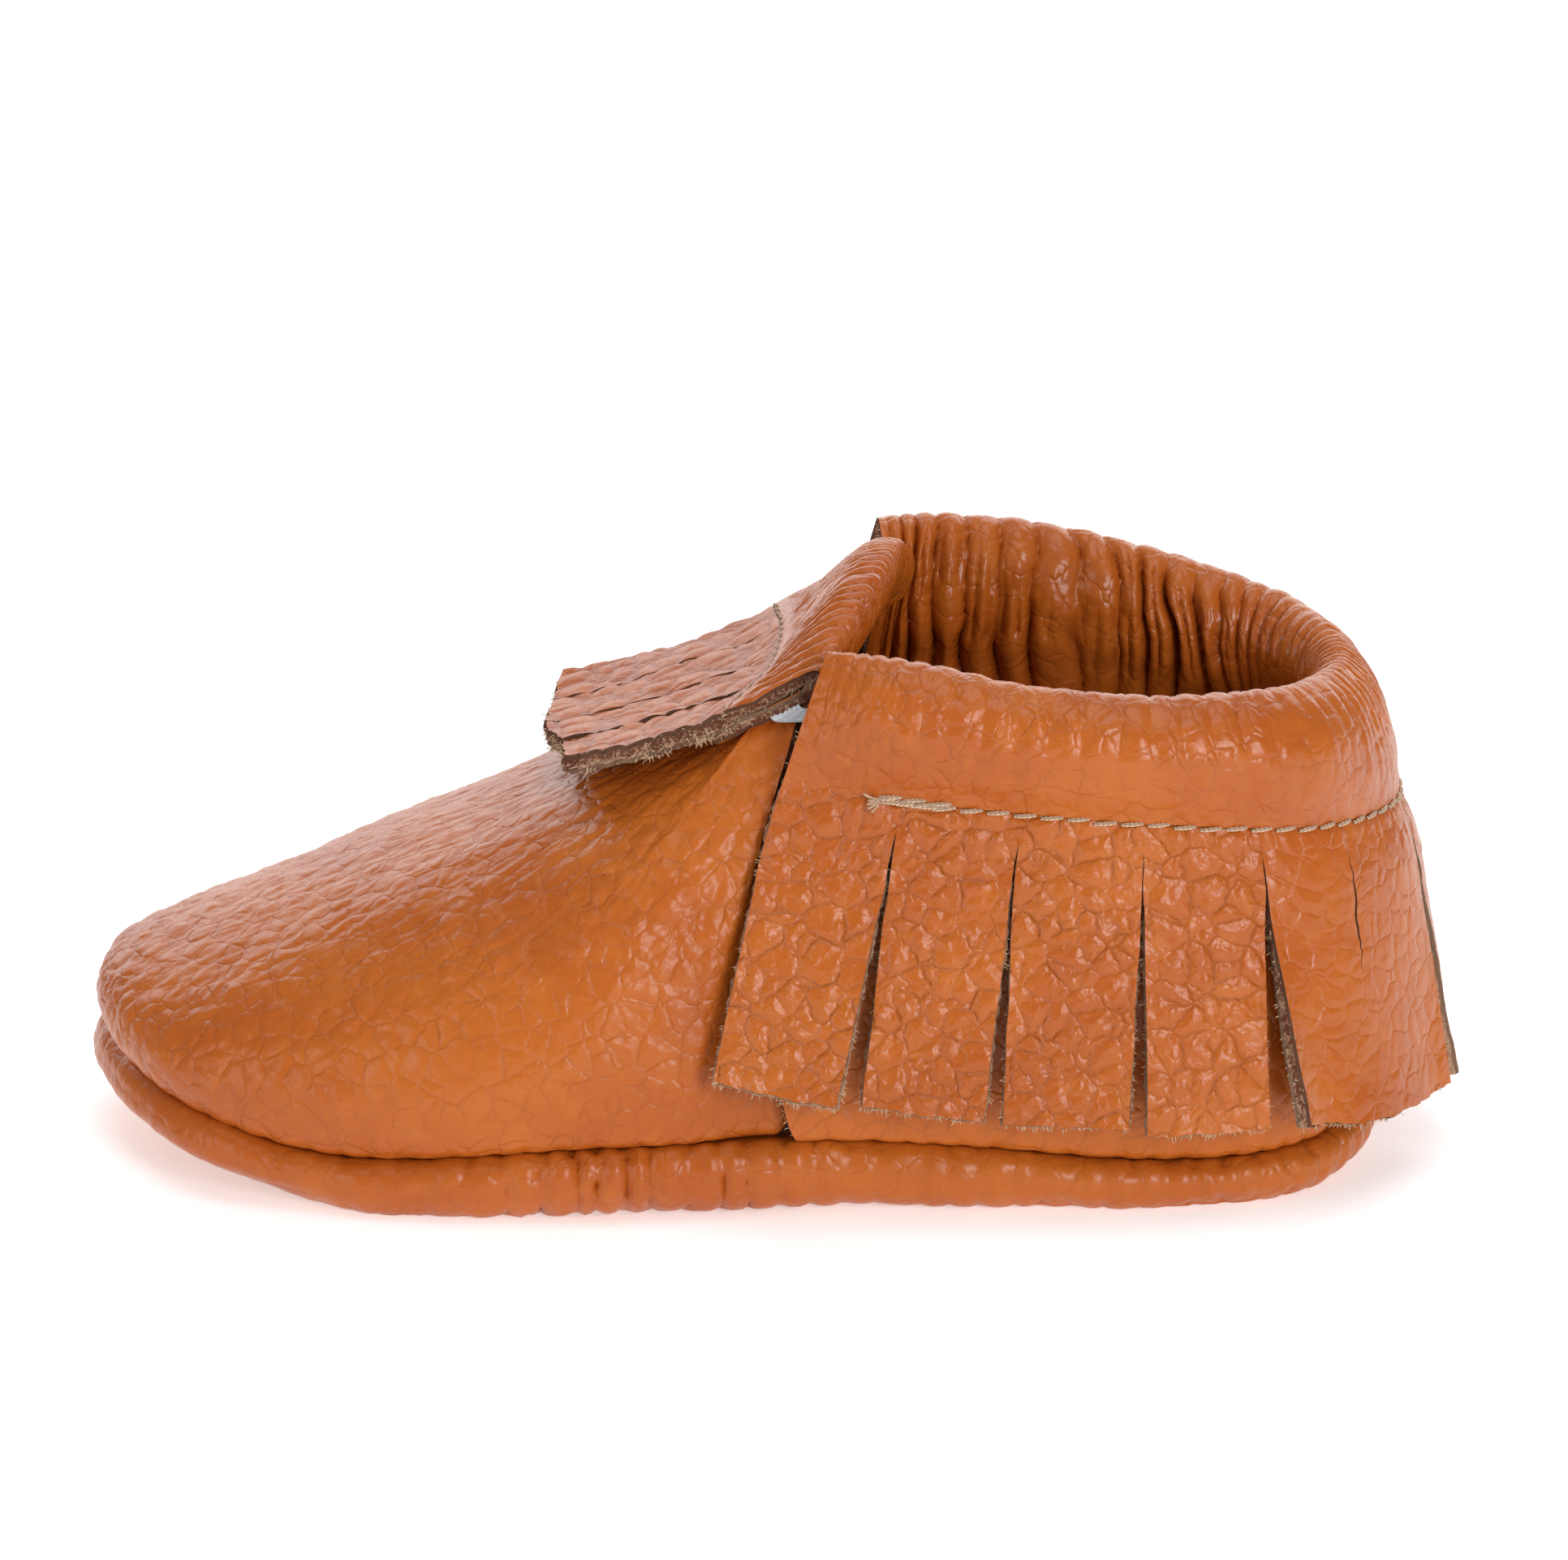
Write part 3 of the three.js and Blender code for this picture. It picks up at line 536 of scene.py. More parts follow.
def fibres(piece, edge, per_mm, keep, long, droop=0.35):
    """Loose fibres standing out of a raw edge where keep says so, most from its flesh side."""
    rim = edge["rim"]
    spots = edge["top"][rim[:, 0]]
    length = edge["length"] * keep(spots)
    count = int(length.sum() * per_mm)
    # Tufts: the density wanders along the edge.
    weight = length * np.clip(0.55 + 0.9 * noise(spots, 2.2, 31) + 0.6 * noise(spots, 0.7, 32), 0.05, 3)
    pick = rng.choice(len(rim), count, p=weight / weight.sum())
    t = rng.random((count, 1))
    a, b = rim[pick, 0], rim[pick, 1]
    depth = rng.beta(2.2, 1.1, (count, 1))
    top = mix(edge["top"][a], edge["top"][b], t)
    back = mix(edge["back"][a], edge["back"][b], t)
    out, n = unit(mix(edge["out"][a], edge["out"][b], t)), edge["normal"][a]
    base = mix(top, back, depth) - out * 0.12
    drift = rng.normal(0, 0.55, (count, 3))
    first = unit(out * 1.0 - n * (0.9 * depth - 0.35) + 0.8 * drift)
    later = unit(first * 0.8 - Z * droop + 0.9 * rng.normal(0, 0.6, (count, 3)))
    size = np.clip(rng.exponential(long, (count, 1)), 0.12, 3.2 * long)
    s = np.linspace(0, 1, 4)[None, :, None]
    way = first[:, None] * s * (1 - 0.5 * s) + later[:, None] * 0.6 * s**2
    curve = base[:, None] + size[:, None] * way
    radius = np.maximum(FIBRE_RADIUS * (1 - 0.6 * s[..., 0]), FIBRE_TIP)
    radius = radius * (0.6 + 0.7 * rng.random((count, 1)))
    tubes(piece, curve, radius, 3, FIBRE_SLOT)


# ---- materials ----
class Nodes:
    """A short way to write a material's nodes."""

    def __init__(self, name):
        self.material = bpy.data.materials.new(name)
        self.material.use_nodes = True
        self.tree = self.material.node_tree
        self.tree.nodes.clear()
        output = self.tree.nodes.new("ShaderNodeOutputMaterial")
        self.shader = self.tree.nodes.new("ShaderNodeBsdfPrincipled")
        self.tree.links.new(self.shader.outputs[0], output.inputs[0])

    def put(self, socket, value):
        if isinstance(value, bpy.types.NodeSocket):
            self.tree.links.new(value, socket)
        else:
            socket.default_value = value

    def node(self, kind, out=0, settings=None, **inputs):
        n = self.tree.nodes.new("ShaderNode" + kind)
        for key, value in (settings or {}).items():
            setattr(n, key, value)
        for key, value in inputs.items():
            name = key.replace("_", " ")
            socket = n.inputs[int(key[1:])] if key[1:].isdigit() else n.inputs[name]
            self.put(socket, value)
        return n.outputs[out]

    def math(self, operation, a, b=0.0):
        return self.node("Math", settings={"operation": operation}, i0=a, i1=b)

    def times(self, a, b):
        return self.math("MULTIPLY", a, b)

    def total(self, *terms):
        """The sum of the (value, weight) pairs given."""
        parts = [self.times(value, weight) for value, weight in terms]
        result = parts[0]
        for part in parts[1:]:
            result = self.math("ADD", result, part)
        return result

    def attribute(self, name, out):
        return self.node("Attribute", out, {"attribute_name": name})

    def noise(self, vector, scale, detail=3.0, rough=0.55, out=0):
        return self.node("TexNoise", out, Vector=vector, Scale=scale, Detail=detail, Roughness=rough)

    def cells(self, vector, size, feature):
        return self.node("TexVoronoi", settings={"feature": feature}, Vector=vector, Scale=1 / size)

    def ramp(self, value, low, high, a=0.0, b=1.0):
        return self.node("MapRange", settings={"interpolation_type": "SMOOTHSTEP"}, Value=value,
                         From_Min=low, From_Max=high, To_Min=a, To_Max=b)

    def blend(self, factor, a, b, mode="MIX"):
        n = self.tree.nodes.new("ShaderNodeMix")
        n.data_type, n.blend_type = "RGBA", mode
        for socket, value in ((n.inputs[0], factor), (n.inputs[6], a), (n.inputs[7], b)):
            self.put(socket, value)
        return n.outputs[2]

    def shift(self, vector, by, amount):
        """vector moved by a colour-like noise."""
        centred = self.node("VectorMath", settings={"operation": "SUBTRACT"}, i0=by, i1=(0.5, 0.5, 0.5))
        n = self.tree.nodes.new("ShaderNodeVectorMath")
        n.operation = "MULTIPLY_ADD"
        self.put(n.inputs[0], centred)
        self.put(n.inputs[1], (amount,) * 3)
        self.put(n.inputs[2], vector)
        return n.outputs[0]

    def set(self, **values):
        for key, value in values.items():
            self.put(self.shader.inputs[key.replace("_", " ")], value)


TAN = (0.480, 0.119, 0.013, 1)
TAN_DEEP = (0.415, 0.090, 0.009, 1)
TAN_LIGHT = (0.540, 0.162, 0.023, 1)
# Colour of the painted shade in creases and fold valleys, partly their own darker tint.
CREASE_SHADE = (0.230, 0.042, 0.005, 1)
SUEDE = (0.150, 0.048, 0.026, 1)
SUEDE_LIGHT = (0.560, 0.350, 0.220, 1)
FLESH_DARK = (0.26, 0.085, 0.030, 1)
FLESH_LIGHT = (0.42, 0.18, 0.08, 1)
PALE_EDGE_DARK = (0.34, 0.15, 0.08, 1)
PALE_EDGE_LIGHT = (0.62, 0.40, 0.26, 1)
FIBRE_DARK = (0.50, 0.32, 0.19, 1)
FIBRE_LIGHT = (0.740, 0.560, 0.380, 1)
BEIGE = (0.78, 0.54, 0.34, 1)
BEIGE_SHADE_AND_SPECK = (0.40, 0.20, 0.10, 1)
ELASTIC_WEAVE_SHADE = (0.50, 0.51, 0.53, 1)
ELASTIC_WHITE = (0.66, 0.67, 0.69, 1)


def leather_grain(name, cell, depth, gloss, ior=1.38):
    """Finished leather: domed pebbles parted by creases, smaller ones on them, and pores.

    cell is the pebbles' size, depth their height in mm and gloss the surface's roughness."""
    m = Nodes(name)
    where = m.attribute("grain", 1)
    painted_shade_and_depth = m.attribute("painted_shade_and_depth", 2)
    fine = m.attribute("fine", 2)
    warped = m.shift(where, m.noise(where, 0.5, 2.0, out=1), 1.0)
    from_edge = m.cells(warped, cell, "DISTANCE_TO_EDGE")
    dome = m.math("POWER", m.math("MINIMUM", m.times(from_edge, 2.9), 1.0), 0.72)
    dome = m.times(dome, m.ramp(m.noise(where, 0.22, 2.0), 0.32, 0.62, 0.45, 1.0))
    small = m.ramp(m.cells(warped, 0.42 * cell, "F1"), 0.05, 0.8, 1.0, 0.0)
    crease = m.times(m.ramp(from_edge, 0.0, 0.09, 1.0, 0.0),
                    m.ramp(m.noise(where, 0.35, 2.0), 0.34, 0.66))
    pores = m.noise(where, 3.4, 4.0, 0.6)
    height = m.total((dome, 0.80), (small, 0.22), (pores, 0.08), (crease, -0.12))
    height = m.times(height, fine)
    bump = m.node("Bump", Strength=1.0, Distance=depth * MM, Height=height)
    tone = m.blend(m.ramp(m.noise(where, 0.05, 3.0), 0.35, 0.65), TAN_DEEP, TAN)
    tone = m.blend(m.ramp(m.noise(where, 0.4, 3.0), 0.5, 0.8, 0.0, 0.35), tone, TAN_LIGHT)
    # Painted shade: the thin crease lines darken a little, partly their own darker tint.
    tone = m.blend(m.times(crease, m.times(fine, 0.26)), tone, CREASE_SHADE)
    # Painted shade in creases and fold valleys, as given per vertex, partly their own darker tint.
    tone = m.blend(m.ramp(painted_shade_and_depth, 0.25, 1.0, 0.0, 0.8), tone, CREASE_SHADE)
    rough = m.ramp(pores, 0.3, 0.7, gloss - 0.04, gloss + 0.07)
    m.set(Base_Color=tone, Roughness=rough, Normal=bump, Specular_IOR_Level=0.5, IOR=ior)
    return m.material


def suede(name, dark, light, depth, skin=0.0):
    """Flesh side or cut edge: matt, fibrous and mottled, and darker just under the grain."""
    m = Nodes(name)
    where = m.attribute("grain", 1)
    fine = m.noise(where, 3.0, 5.0, 0.75)
    broad = m.noise(where, 0.8, 3.0)
    speck = m.total((fine, 0.7), (broad, 0.3))
    speck = m.math("SUBTRACT", speck, m.ramp(m.attribute("painted_shade_and_depth", 2), 0.45, 0.95, skin, -0.3 * skin))
    tone = m.blend(m.ramp(speck, 0.41, 0.58), dark, light)
    bump = m.node("Bump", Strength=1.0, Distance=depth * MM, Height=fine)
    m.set(Base_Color=tone, Roughness=0.95, Normal=bump, Specular_IOR_Level=0.1)
    return m.material


def thread_material(name, color, dark):
    """Twisted thread: slanting plies along the stitch."""
    m = Nodes(name)
    where = m.attribute("grain", 1)
    parts = m.node("SeparateXYZ", Vector=where)
    around = parts.node.outputs[1]
    ply = m.math("ABSOLUTE", m.math("SINE", m.total((parts, 7.0), (around, 2.0))))
    # Painted shade in the grooves between the plies; the darker specks after it are the thread's own
    # mottle.
    tone = m.blend(m.ramp(ply, 0.1, 0.7), dark, color)
    speck = m.noise(where, 2.0, 3.0)
    tone = m.blend(m.ramp(speck, 0.35, 0.75, 0.0, 0.35), tone, dark)
    bump = m.node("Bump", Strength=0.8, Distance=0.12 * MM, Height=ply)
    m.set(Base_Color=tone, Roughness=0.75, Normal=bump, Sheen_Weight=0.3)
    return m.material


def elastic_material():
    """White woven elastic: ribs along the band, picks across."""
    m = Nodes("woven_elastic")
    where = m.attribute("grain", 1)
    parts = m.node("SeparateXYZ", Vector=where)
    across = m.math("ABSOLUTE", m.math("SINE", m.times(parts, 5.2)))
    rib = m.math("ABSOLUTE", m.math("SINE", m.times(parts.node.outputs[1], 3.9)))
    weave = m.total((across, 0.5), (rib, 0.5))
    # Painted shade in the valleys of the weave; the band itself is white.
    tone = m.blend(m.ramp(weave, 0.2, 0.8), ELASTIC_WEAVE_SHADE, ELASTIC_WHITE)
    bump = m.node("Bump", Strength=0.7, Distance=0.15 * MM, Height=weave)
    m.set(Base_Color=tone, Roughness=0.85, Normal=bump)
    return m.material


GRAIN_BODY = leather_grain("leather_body", 2.5, 0.20, 0.30)
GRAIN_ROLL = leather_grain("leather_roll", 2.4, 0.20, 0.27, 1.42)
GRAIN_STRIP = leather_grain("leather_strip", 2.6, 0.42, 0.24, 1.42)
GRAIN_FLAP = leather_grain("leather_flap", 2.7, 0.30, 0.34, 1.27)
CUT = suede("leather_cut_edge", SUEDE, SUEDE_LIGHT, 0.3, 0.06)
CUT_PALE = suede("leather_strip_edge", PALE_EDGE_DARK, PALE_EDGE_LIGHT, 0.3)
FLESH = suede("leather_flesh", FLESH_DARK, FLESH_LIGHT, 0.12)
LOOSE = suede("leather_fibre", FIBRE_DARK, FIBRE_LIGHT, 0.02)
THREAD = thread_material("thread_beige", BEIGE, BEIGE_SHADE_AND_SPECK)
ELASTIC = elastic_material()


def show(piece, name, node, materials, body="shoe", weld=False):
    """The piece as one object that stands for a node. A strip is given no body."""
    ob = piece.mesh(name, materials, weld)
    if body:
        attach(ob, body)
    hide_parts(node)
    return ob


# ---- sole ----
TOE_TUCK = 5.0  # how much further in than the sides the toe leaves the ground
SOLE_HIGHEST = 0.4  # the side's plump ridges stand this far out of the swept face
SOLE_DEEPEST = 0.95
LEAST_SLOPE = 0.05  # the side counts as leaning out at least this much


def sole_face(s, seam, u):
    """Grain face of the sole: from a spine on the ground, up the side and in along the seam."""
    out = seam_out(s)
    rim = seam[:, 2:3] - GAP / 2
    tip = smooth(-36, -60, seam[:, 0:1])
    foot = -(1.2 + 0.95 * (seam[:, 2:3] - 4)) - TOE_TUCK * tip
    at = lambda r, z: seam + out * r + Z * (z - seam[:, 2:3])
    spine = flat(0.74 * seam[:, 0] - 0.5, 0 * s)
    controls = np.stack([
        spine,
        mix(at(foot, 0), spine, 0.4),
        at(foot, 0),
        at(mix(0.2, 0.56, tip) * foot, mix(0.14, 0.26, tip) * rim),
        at(mix(0.9, 0.3, tip), mix(0.5, 0.6, tip) * rim),
        at(0.75, 0.82 * rim),
        at(-0.7, rim),
        at(-SEAM_ALLOWANCE, rim),
    ], 1)
    return sweep(controls, u)


def make_sole():
    s = np.linspace(0, ROUND, steps(SOLE_ROUND, 1.2), endpoint=False)
    u = np.concatenate([np.linspace(0, 1, 10), np.linspace(1, 2, 10)[1:],
                        np.linspace(2, 6, steps(SOLE_SIDE))[1:], np.linspace(6, 7, 5)[1:]])
    seam = upper(s, 0 * s)
    face = sole_face(s, seam, u)
    x = arc(seam)[:, None]
    run = flat(x, 1.6 * u)
    # Gathers stand up the side, most of them behind the ball of the foot and nearly none at the toe.
    band = smooth(1.6, 3.2, u) * smooth(6.6, 5.8, u)
    bent = x + 0.9 * noise(run, 2.8, 3) + 0.18 * noise(run, 1.3, 4)
    lumps = folds(bent, 3.1, 5, 0.55)
    between = bent + 0.45 * noise(run, 1.9, 6)
    wrinkles = mix(1, folds(between, 1.7, 8, 0.8), smooth(-0.2, 0.5, noise(run, 2.4, 11)))
    strong = 0.65 + 0.35 * smooth(-0.3, 0.4, noise(run * [1, 0.5, 1], 8.0, 7))
    ahead = seam[:, 0, None]
    crowd = smooth(-34, -20, ahead) * smooth(14, 0, ahead)
    strong = strong * (0.75 + 0.6 * crowd)
    strong = strong * (1 - 0.85 * smooth(-18, -52, ahead))
    depth = np.minimum((0.8 * (1 - lumps) + 0.35 * (1 - wrinkles)) * strong, SOLE_DEEPEST)
    soft = 0.16 * noise(face, 3.0, 8) + 0.35 * noise(face, 9.0, 9) * smooth(1.8, 2.8, u)
    cell = pebbles(face, 2.3, 10)
    relief = band * (SOLE_HIGHEST + soft - depth) + 0.05 * (cell - 0.6) * smooth(0.0, 0.6, u)
    off_ground = smooth(1.9, 2.6, u)  # the part that lies on the ground stays flat
    relief = relief * off_ground - 0.03 * (1 - off_ground) * (1 - cell)
    # The side's relief stops at the ground.
    down = np.maximum(-normals(face, -1, True)[..., 2], LEAST_SLOPE)
    relief = np.minimum(relief, np.maximum(face[..., 2], 0) / down)
    # Painted shade in the wrinkle valleys of the side, and faintly in the pebbles' creases.
    creases = 0.75 * (1 - lumps) ** 2 + 0.35 * (1 - wrinkles) ** 2
    painted_shade_and_depth = np.clip(creases * strong * band + 0.1 * (1 - cell), 0, 1)
    piece = Piece()
    sheet(piece, face, -1, relief, painted_shade_and_depth, fine=0.55, closed=True, hidden_start=True, seed=1)
    show(piece, "sole_leather", "sole", [GRAIN_BODY, CUT, FLESH], weld=True)


# ---- toe piece and heel piece ----
def upper_face(s_seam, s_wall, top, offset, lift):
    """Grain face of an upper piece: turned-in edge, rounded corner and wall up to t = top.

    s_seam is each station's column at the seam; s_wall(t) the columns of the wall's points."""
    first = 0.06 + 0.036 * lift
    t = first[:, None] + (top - first)[:, None] * even(steps(WALL_HIGH))
    wall = upper(s_wall(t), t)
    wall = wall + normals(wall, -1) * offset(t)[..., None]
    out = seam_out(s_seam)
    low = offset(0 * top[:, None])
    seam = upper(s_seam, 0 * s_seam) + out * low + Z * (GAP / 2 + lift[:, None])
    start = seam - out * 1.3
    corner = seam + out * 0.2
    q = even(8)[None, :-1, None]
    turned = (start[:, None] * (1 - q) ** 2 + corner[:, None] * 2 * q * (1 - q)
              + wall[:, :1] * q * q)
    tuck = np.stack([seam - out * SEAM_ALLOWANCE, seam - out * 2.3], 1)
    return np.concatenate([tuck, turned, wall], 1)


UPPER_FINE = 0.85


def upper_relief(face, pucker, seed, cell_size, low_depth, high_depth):
    """Pebbles, soft dents, and puckers that fade upwards from the sole seam."""
    x = arc(face[:, 8])[:, None]
    up = climb(face)
    height = smooth(16, 34, face[..., 2] - 0.20 * face[..., 0] + 1.5 * noise(face, 8.0, seed + 6))
    cell = pebbles(face, cell_size, seed)
    near_seam = smooth(11, 3.5, up) * smooth(1.5, 3.5, up)
    gather = folds(x + 1.2 * noise(face, 6, seed + 1), 3.6, seed + 2, 0.9)
    dents = 0.14 * noise(face, 4.2, seed + 3) + 0.35 * noise(face, 13.0, seed + 4)
    # Long pulls that slant down and forwards from the throat.
    slant = face @ np.array([0.8, 0.0, -0.6])
    pulls = wave(slant, 2.2, seed + 5) * noise(face, 7.0, seed + 7) * 0.16
    dents = (dents + pulls) * smooth(2.5, 6, up)
    depth = mix(low_depth, high_depth, height)
    relief = depth * (cell - 0.6) * smooth(2.0, 6.0, up) + dents - pucker * near_seam * (1 - gather)
    # Painted shade in the pebbles' creases, stronger higher up.
    painted_shade_and_depth = 0.5 * (1 - cell) * height
    return relief, painted_shade_and_depth


def make_toe_piece():
    start = edge_column(0) - LAP
    n = steps(TOE_ROUND)
    clear = start + 0.5
    s = np.concatenate([np.linspace(start, clear, int(n * 0.08))[:-1],
                        np.linspace(clear, ROUND - clear, int(n * 0.84)),
                        np.linspace(ROUND - clear, ROUND - start, int(n * 0.08))[1:]])
    near = np.minimum(s, ROUND - s)
    under = 1 - smooth(edge_column(0.3) + 0.06, edge_column(0.3) + 0.42, near)
    top = 0.66 + 0.34 * smooth(3.5, 3.85, near)
    top = top + 0.07 * smooth(3.7, 3.95, near) * smooth(4.8, 4.4, near)
    lift = (LEATHER + GAP) * (1 - smooth(edge_column(0), edge_column(0) + 0.08, near))
    face = upper_face(
        s,
        lambda t: s[:, None] + 0 * t,
        top,
        lambda t: -1.3 * under[:, None] + 0 * t,
        lift,
    )
    relief, painted_shade_and_depth = upper_relief(face, 0.16, 20, 2.7, 0.04, 0.34)
    open_part = (1 - under)[:, None]
    piece = Piece()
    sheet(piece, face, -1, relief * open_part, painted_shade_and_depth, fine=UPPER_FINE, seed=2)
    show(piece, "toe_leather", "toe_piece", [GRAIN_BODY, CUT, FLESH])


def make_heel_piece():
    n = steps(HEEL_ROUND)
    k = np.linspace(-1, 1, n)
    edge = edge_column(0.5)
    raised = smooth(edge - 2.6 * LAP, edge - 1.2 * LAP, edge * np.abs(k))
    face = upper_face(
        k * edge_column(0),
        lambda t: k[:, None] * edge_column(t),
        np.ones(n),
        lambda t: 0.6 * raised[:, None] * (1 - smooth(0.6, 0.82, t)),
        np.zeros(n),
    )
    relief, painted_shade_and_depth = upper_relief(face, 0.22, 40, 2.6, 0.06, 0.08)
    piece = Piece()
    edge = sheet(piece, face, -1, relief, painted_shade_and_depth, fine=UPPER_FINE, seed=3)
    front = lambda p: (p[:, 2] < 40) & (p[:, 2] > 7.6) & (p[:, 0] < 14)
    fibres(piece, edge, 4.0, keep=front, long=0.35)
    show(piece, "heel_leather", "heel_piece", [GRAIN_BODY, CUT, FLESH, LOOSE])


# ---- collar and tongue rolls ----
def collar_relief(u, q, x, where):
    """Folds drawn together by the elastic, deepest inside, with the grain's cells and cracks.

    u and x run round the collar, q from the stitch line over the crest and down inside."""
    heel = smooth(3.4, 0.6, np.abs(u - HEEL))
    far = smooth(HEEL - 0.5, HEEL + 1.0, u)
    # The folds are counted along the collar, so that they crowd together round the heel.
    pitch = mix(mix(2.3, 3.0, far), 1.5, heel)
    count = np.cumsum(1 / pitch, 0) * (x[-1, 0] / len(u))
    inside = smooth(0.46, 0.68, q)
    slant = 1.6 * np.clip(q - 0.45, 0, 1) * far * (1 - heel)
    wander = 0.30 * noise(where, 7.0, 51) * inside + 0.10 * noise(where, 2.6, 52) + slant
    main = ridges(count + 0.25 * wave(count, 2.2, 53) + wander, 0.62)
    split = ridges(1.93 * count + 0.7 * wave(count, 3.1, 54) + 1.6 * wander, 0.8)
    depth = mix(0.26, mix(mix(0.5, 1.9, far), 0.70, heel), inside)
    depth = depth + heel * 0.12 * smooth(0.12, 0.4, q)
    depth = depth * smooth(0.14, 0.34, q) * (0.8 + 0.45 * noise(where, 9.0, 55))
    split_share = smooth(-0.1, 0.5, noise(where, 5.0, 56)) * 0.5
    valley = (1 - main) + split_share * (1 - split) * inside
    ends = smooth(0, 5, x) * smooth(0, 5, x[-1] - x)
    cell = pebbles(where * [1.35, 0.9, 1.0], 2.7, 57)
    soft = 0.10 * noise(where, 4.0, 58) + 0.22 * noise(where, 14.0, 59)
    cracks = 0.12 * smooth(0.06, 0.0, np.abs(noise(where * [1.6, 0.8, 1], 4.0, 60)))
    relief = depth * (0.35 * inside - valley) * mix(0.35, 1.0, ends)
    outer = smooth(0.08, 0.14, q) * (1 - inside)
    upright = noise(where * [1.0, 0.3, 1.0], 1.5, 68) * smooth(6, 16, x)
    relief = relief + (0.10 * (cell - 0.6) + 0.10 * upright) * outer
    relief = relief + (soft - cracks) * smooth(0.1, 0.3, q)
    # Painted shade in the fold valleys, the cracks and the outer face's pebble creases, partly their own
    # darker tint.
    painted_shade_and_depth = np.clip(0.62 * depth * valley + 0.5 * cracks + 0.2 * (1 - cell) * outer, 0, 1)
    return relief, painted_shade_and_depth


def make_collar():
    u = np.linspace(0, COLLAR_LAST, steps(COLLAR_ROUND, 0.6))
    full = fullness(u, COLLAR_LAST, 0.35) * (1 - 0.45 * smooth(2.6, 0.2, np.abs(u - HEEL)))
    share = mix(0.1, 1.0, even(steps(COLLAR_WRAP)))
    face = casing(collar_frame(u), COLLAR_SECTION, COLLAR_LINING, full, share)
    # On the far side the facing is drawn back from the roll of the tongue.
    drawn = smooth(COLLAR_LAST - 0.9, COLLAR_LAST, u)[:, None]
    face[..., 0] += drawn * (0.6 + 1.2 * smooth(0.5, 0.72, share)[None])
    x = arc(face[:, np.argmin(np.abs(share - 0.5))])[:, None]
    where = flat(x, climb(face))
    relief, painted_shade_and_depth = collar_relief(u[:, None], share[None, :], x, where)
    fine = mix(0.9, 0.7, smooth(8, 30, x))
    piece = Piece()
    edge = sheet(piece, face, 1, relief, painted_shade_and_depth, grain=where * [1.15, 1, 1], fine=fine, seed=4,
                 fray=0.1)
    front = lambda p: (p[:, 2] > 44) & (p[:, 0] < 12)
    fibres(piece, edge, 4.0, keep=front, long=0.22)
    show(piece, "collar_leather", "collar", [GRAIN_ROLL, CUT, FLESH, LOOSE])


def make_tongue():
    u = np.linspace(0, TONGUE_LAST, steps(TONGUE_WIDE, 0.45))
    found = tongue_frame(u)
    full = fullness(u, TONGUE_LAST, 0.2)
    share = mix(0.1, 1.0, even(steps(TONGUE_WRAP)))
    face = casing(found, TONGUE_SECTION, TONGUE_LINING, full, share)
    # The near end is pressed flat; the far end fills the open end of the collar.
    pressed = mix(0.50, 0.72, smooth(0.0, 0.9, TONGUE_LAST - u)) + 0.16 * smooth(1.2, 0.0, u)
    point, up, out, _ = found
    proud = ((face - point[:, None]) * out[:, None]).sum(-1, keepdims=True)
    face = face + out[:, None] * (np.minimum(proud, 0) * (pressed[:, None, None] - 1))
    x = arc(face[:, len(share) // 2])[:, None]
    up = climb(face)
    q = share[None, :]
    where = flat(x, up)
    wander = 0.45 * noise(where * [1, 0.5, 1], 4.0, 61) + 0.2 * noise(where, 1.6, 62)
    count = x / 1.6
    main = ridges(count + 0.35 * wave(count, 2.0, 63) + wander, 0.8)
    rows = ridges(up / 3.1 + 0.9 * noise(where, 3.0, 64), 0.7)
    depth = 0.52 * smooth(0.1, 0.2, q) * (0.8 + 0.4 * noise(where, 6.0, 65))
    cell = pebbles(where * [1.9, 0.8, 1.0], 2.4, 66)
    soft = 0.2 * noise(where, 7.0, 67)
    relief = -depth * (1 - main) - 0.10 * (1 - rows) * smooth(0.6, 0.3, q)
    relief = relief + 0.10 * (cell - 0.6) + soft
    relief = relief * smooth(0.1, 0.16, q)
    # Painted shade in the fold valleys and the pebbles' creases, partly their own darker tint.
    painted_shade_and_depth = np.clip(0.9 * depth * (1 - main) + 0.2 * (1 - cell), 0, 1)
    piece = Piece()
    edge = sheet(piece, face, 1, relief, painted_shade_and_depth, grain=where * [1.7, 1, 1], fine=0.6, seed=5,
                 rough=0.14, fray=0.15)
    fibres(piece, edge, 7.0, keep=lambda p: np.abs(p[:, 1]) > 11, long=0.3)
    show(piece, "tongue_leather", "tongue", [GRAIN_ROLL, CUT, FLESH, LOOSE])


# ---- fringe ----
ARC_STEPS = 600
ARC_U = np.linspace(0, COLLAR_LAST, ARC_STEPS + 1)
ARC_LENGTH = arc(along(STITCH, ARC_U))
PITCH = ARC_LENGTH[-1] / FRINGE_PITCHES
SEAM_START = 9.2  # the sewing starts this far from either end of the collar
STRIP_DROP = FRINGE_LENGTH + HINGE_DROP


def station_at(length):
    return np.interp(length, ARC_LENGTH, ARC_U)


def hang(first, start, finish, lengths, turn):
    """A sheet that leaves its top edge along start and settles into the direction finish.

    first (n, 3); start (n, 3); finish (m, 3) along the drop; lengths (n,); turn (m,) from 0 to 1."""
    d = unit(mix(start[:, None], finish[None], turn[None, :, None]))
    step = (lengths / (len(turn) - 1))[:, None, None]
    walk = np.cumsum((d[:, 1:] + d[:, :-1]) / 2 * step, 1)
    return first[:, None] + np.concatenate([0 * walk[:, :1], walk], 1)


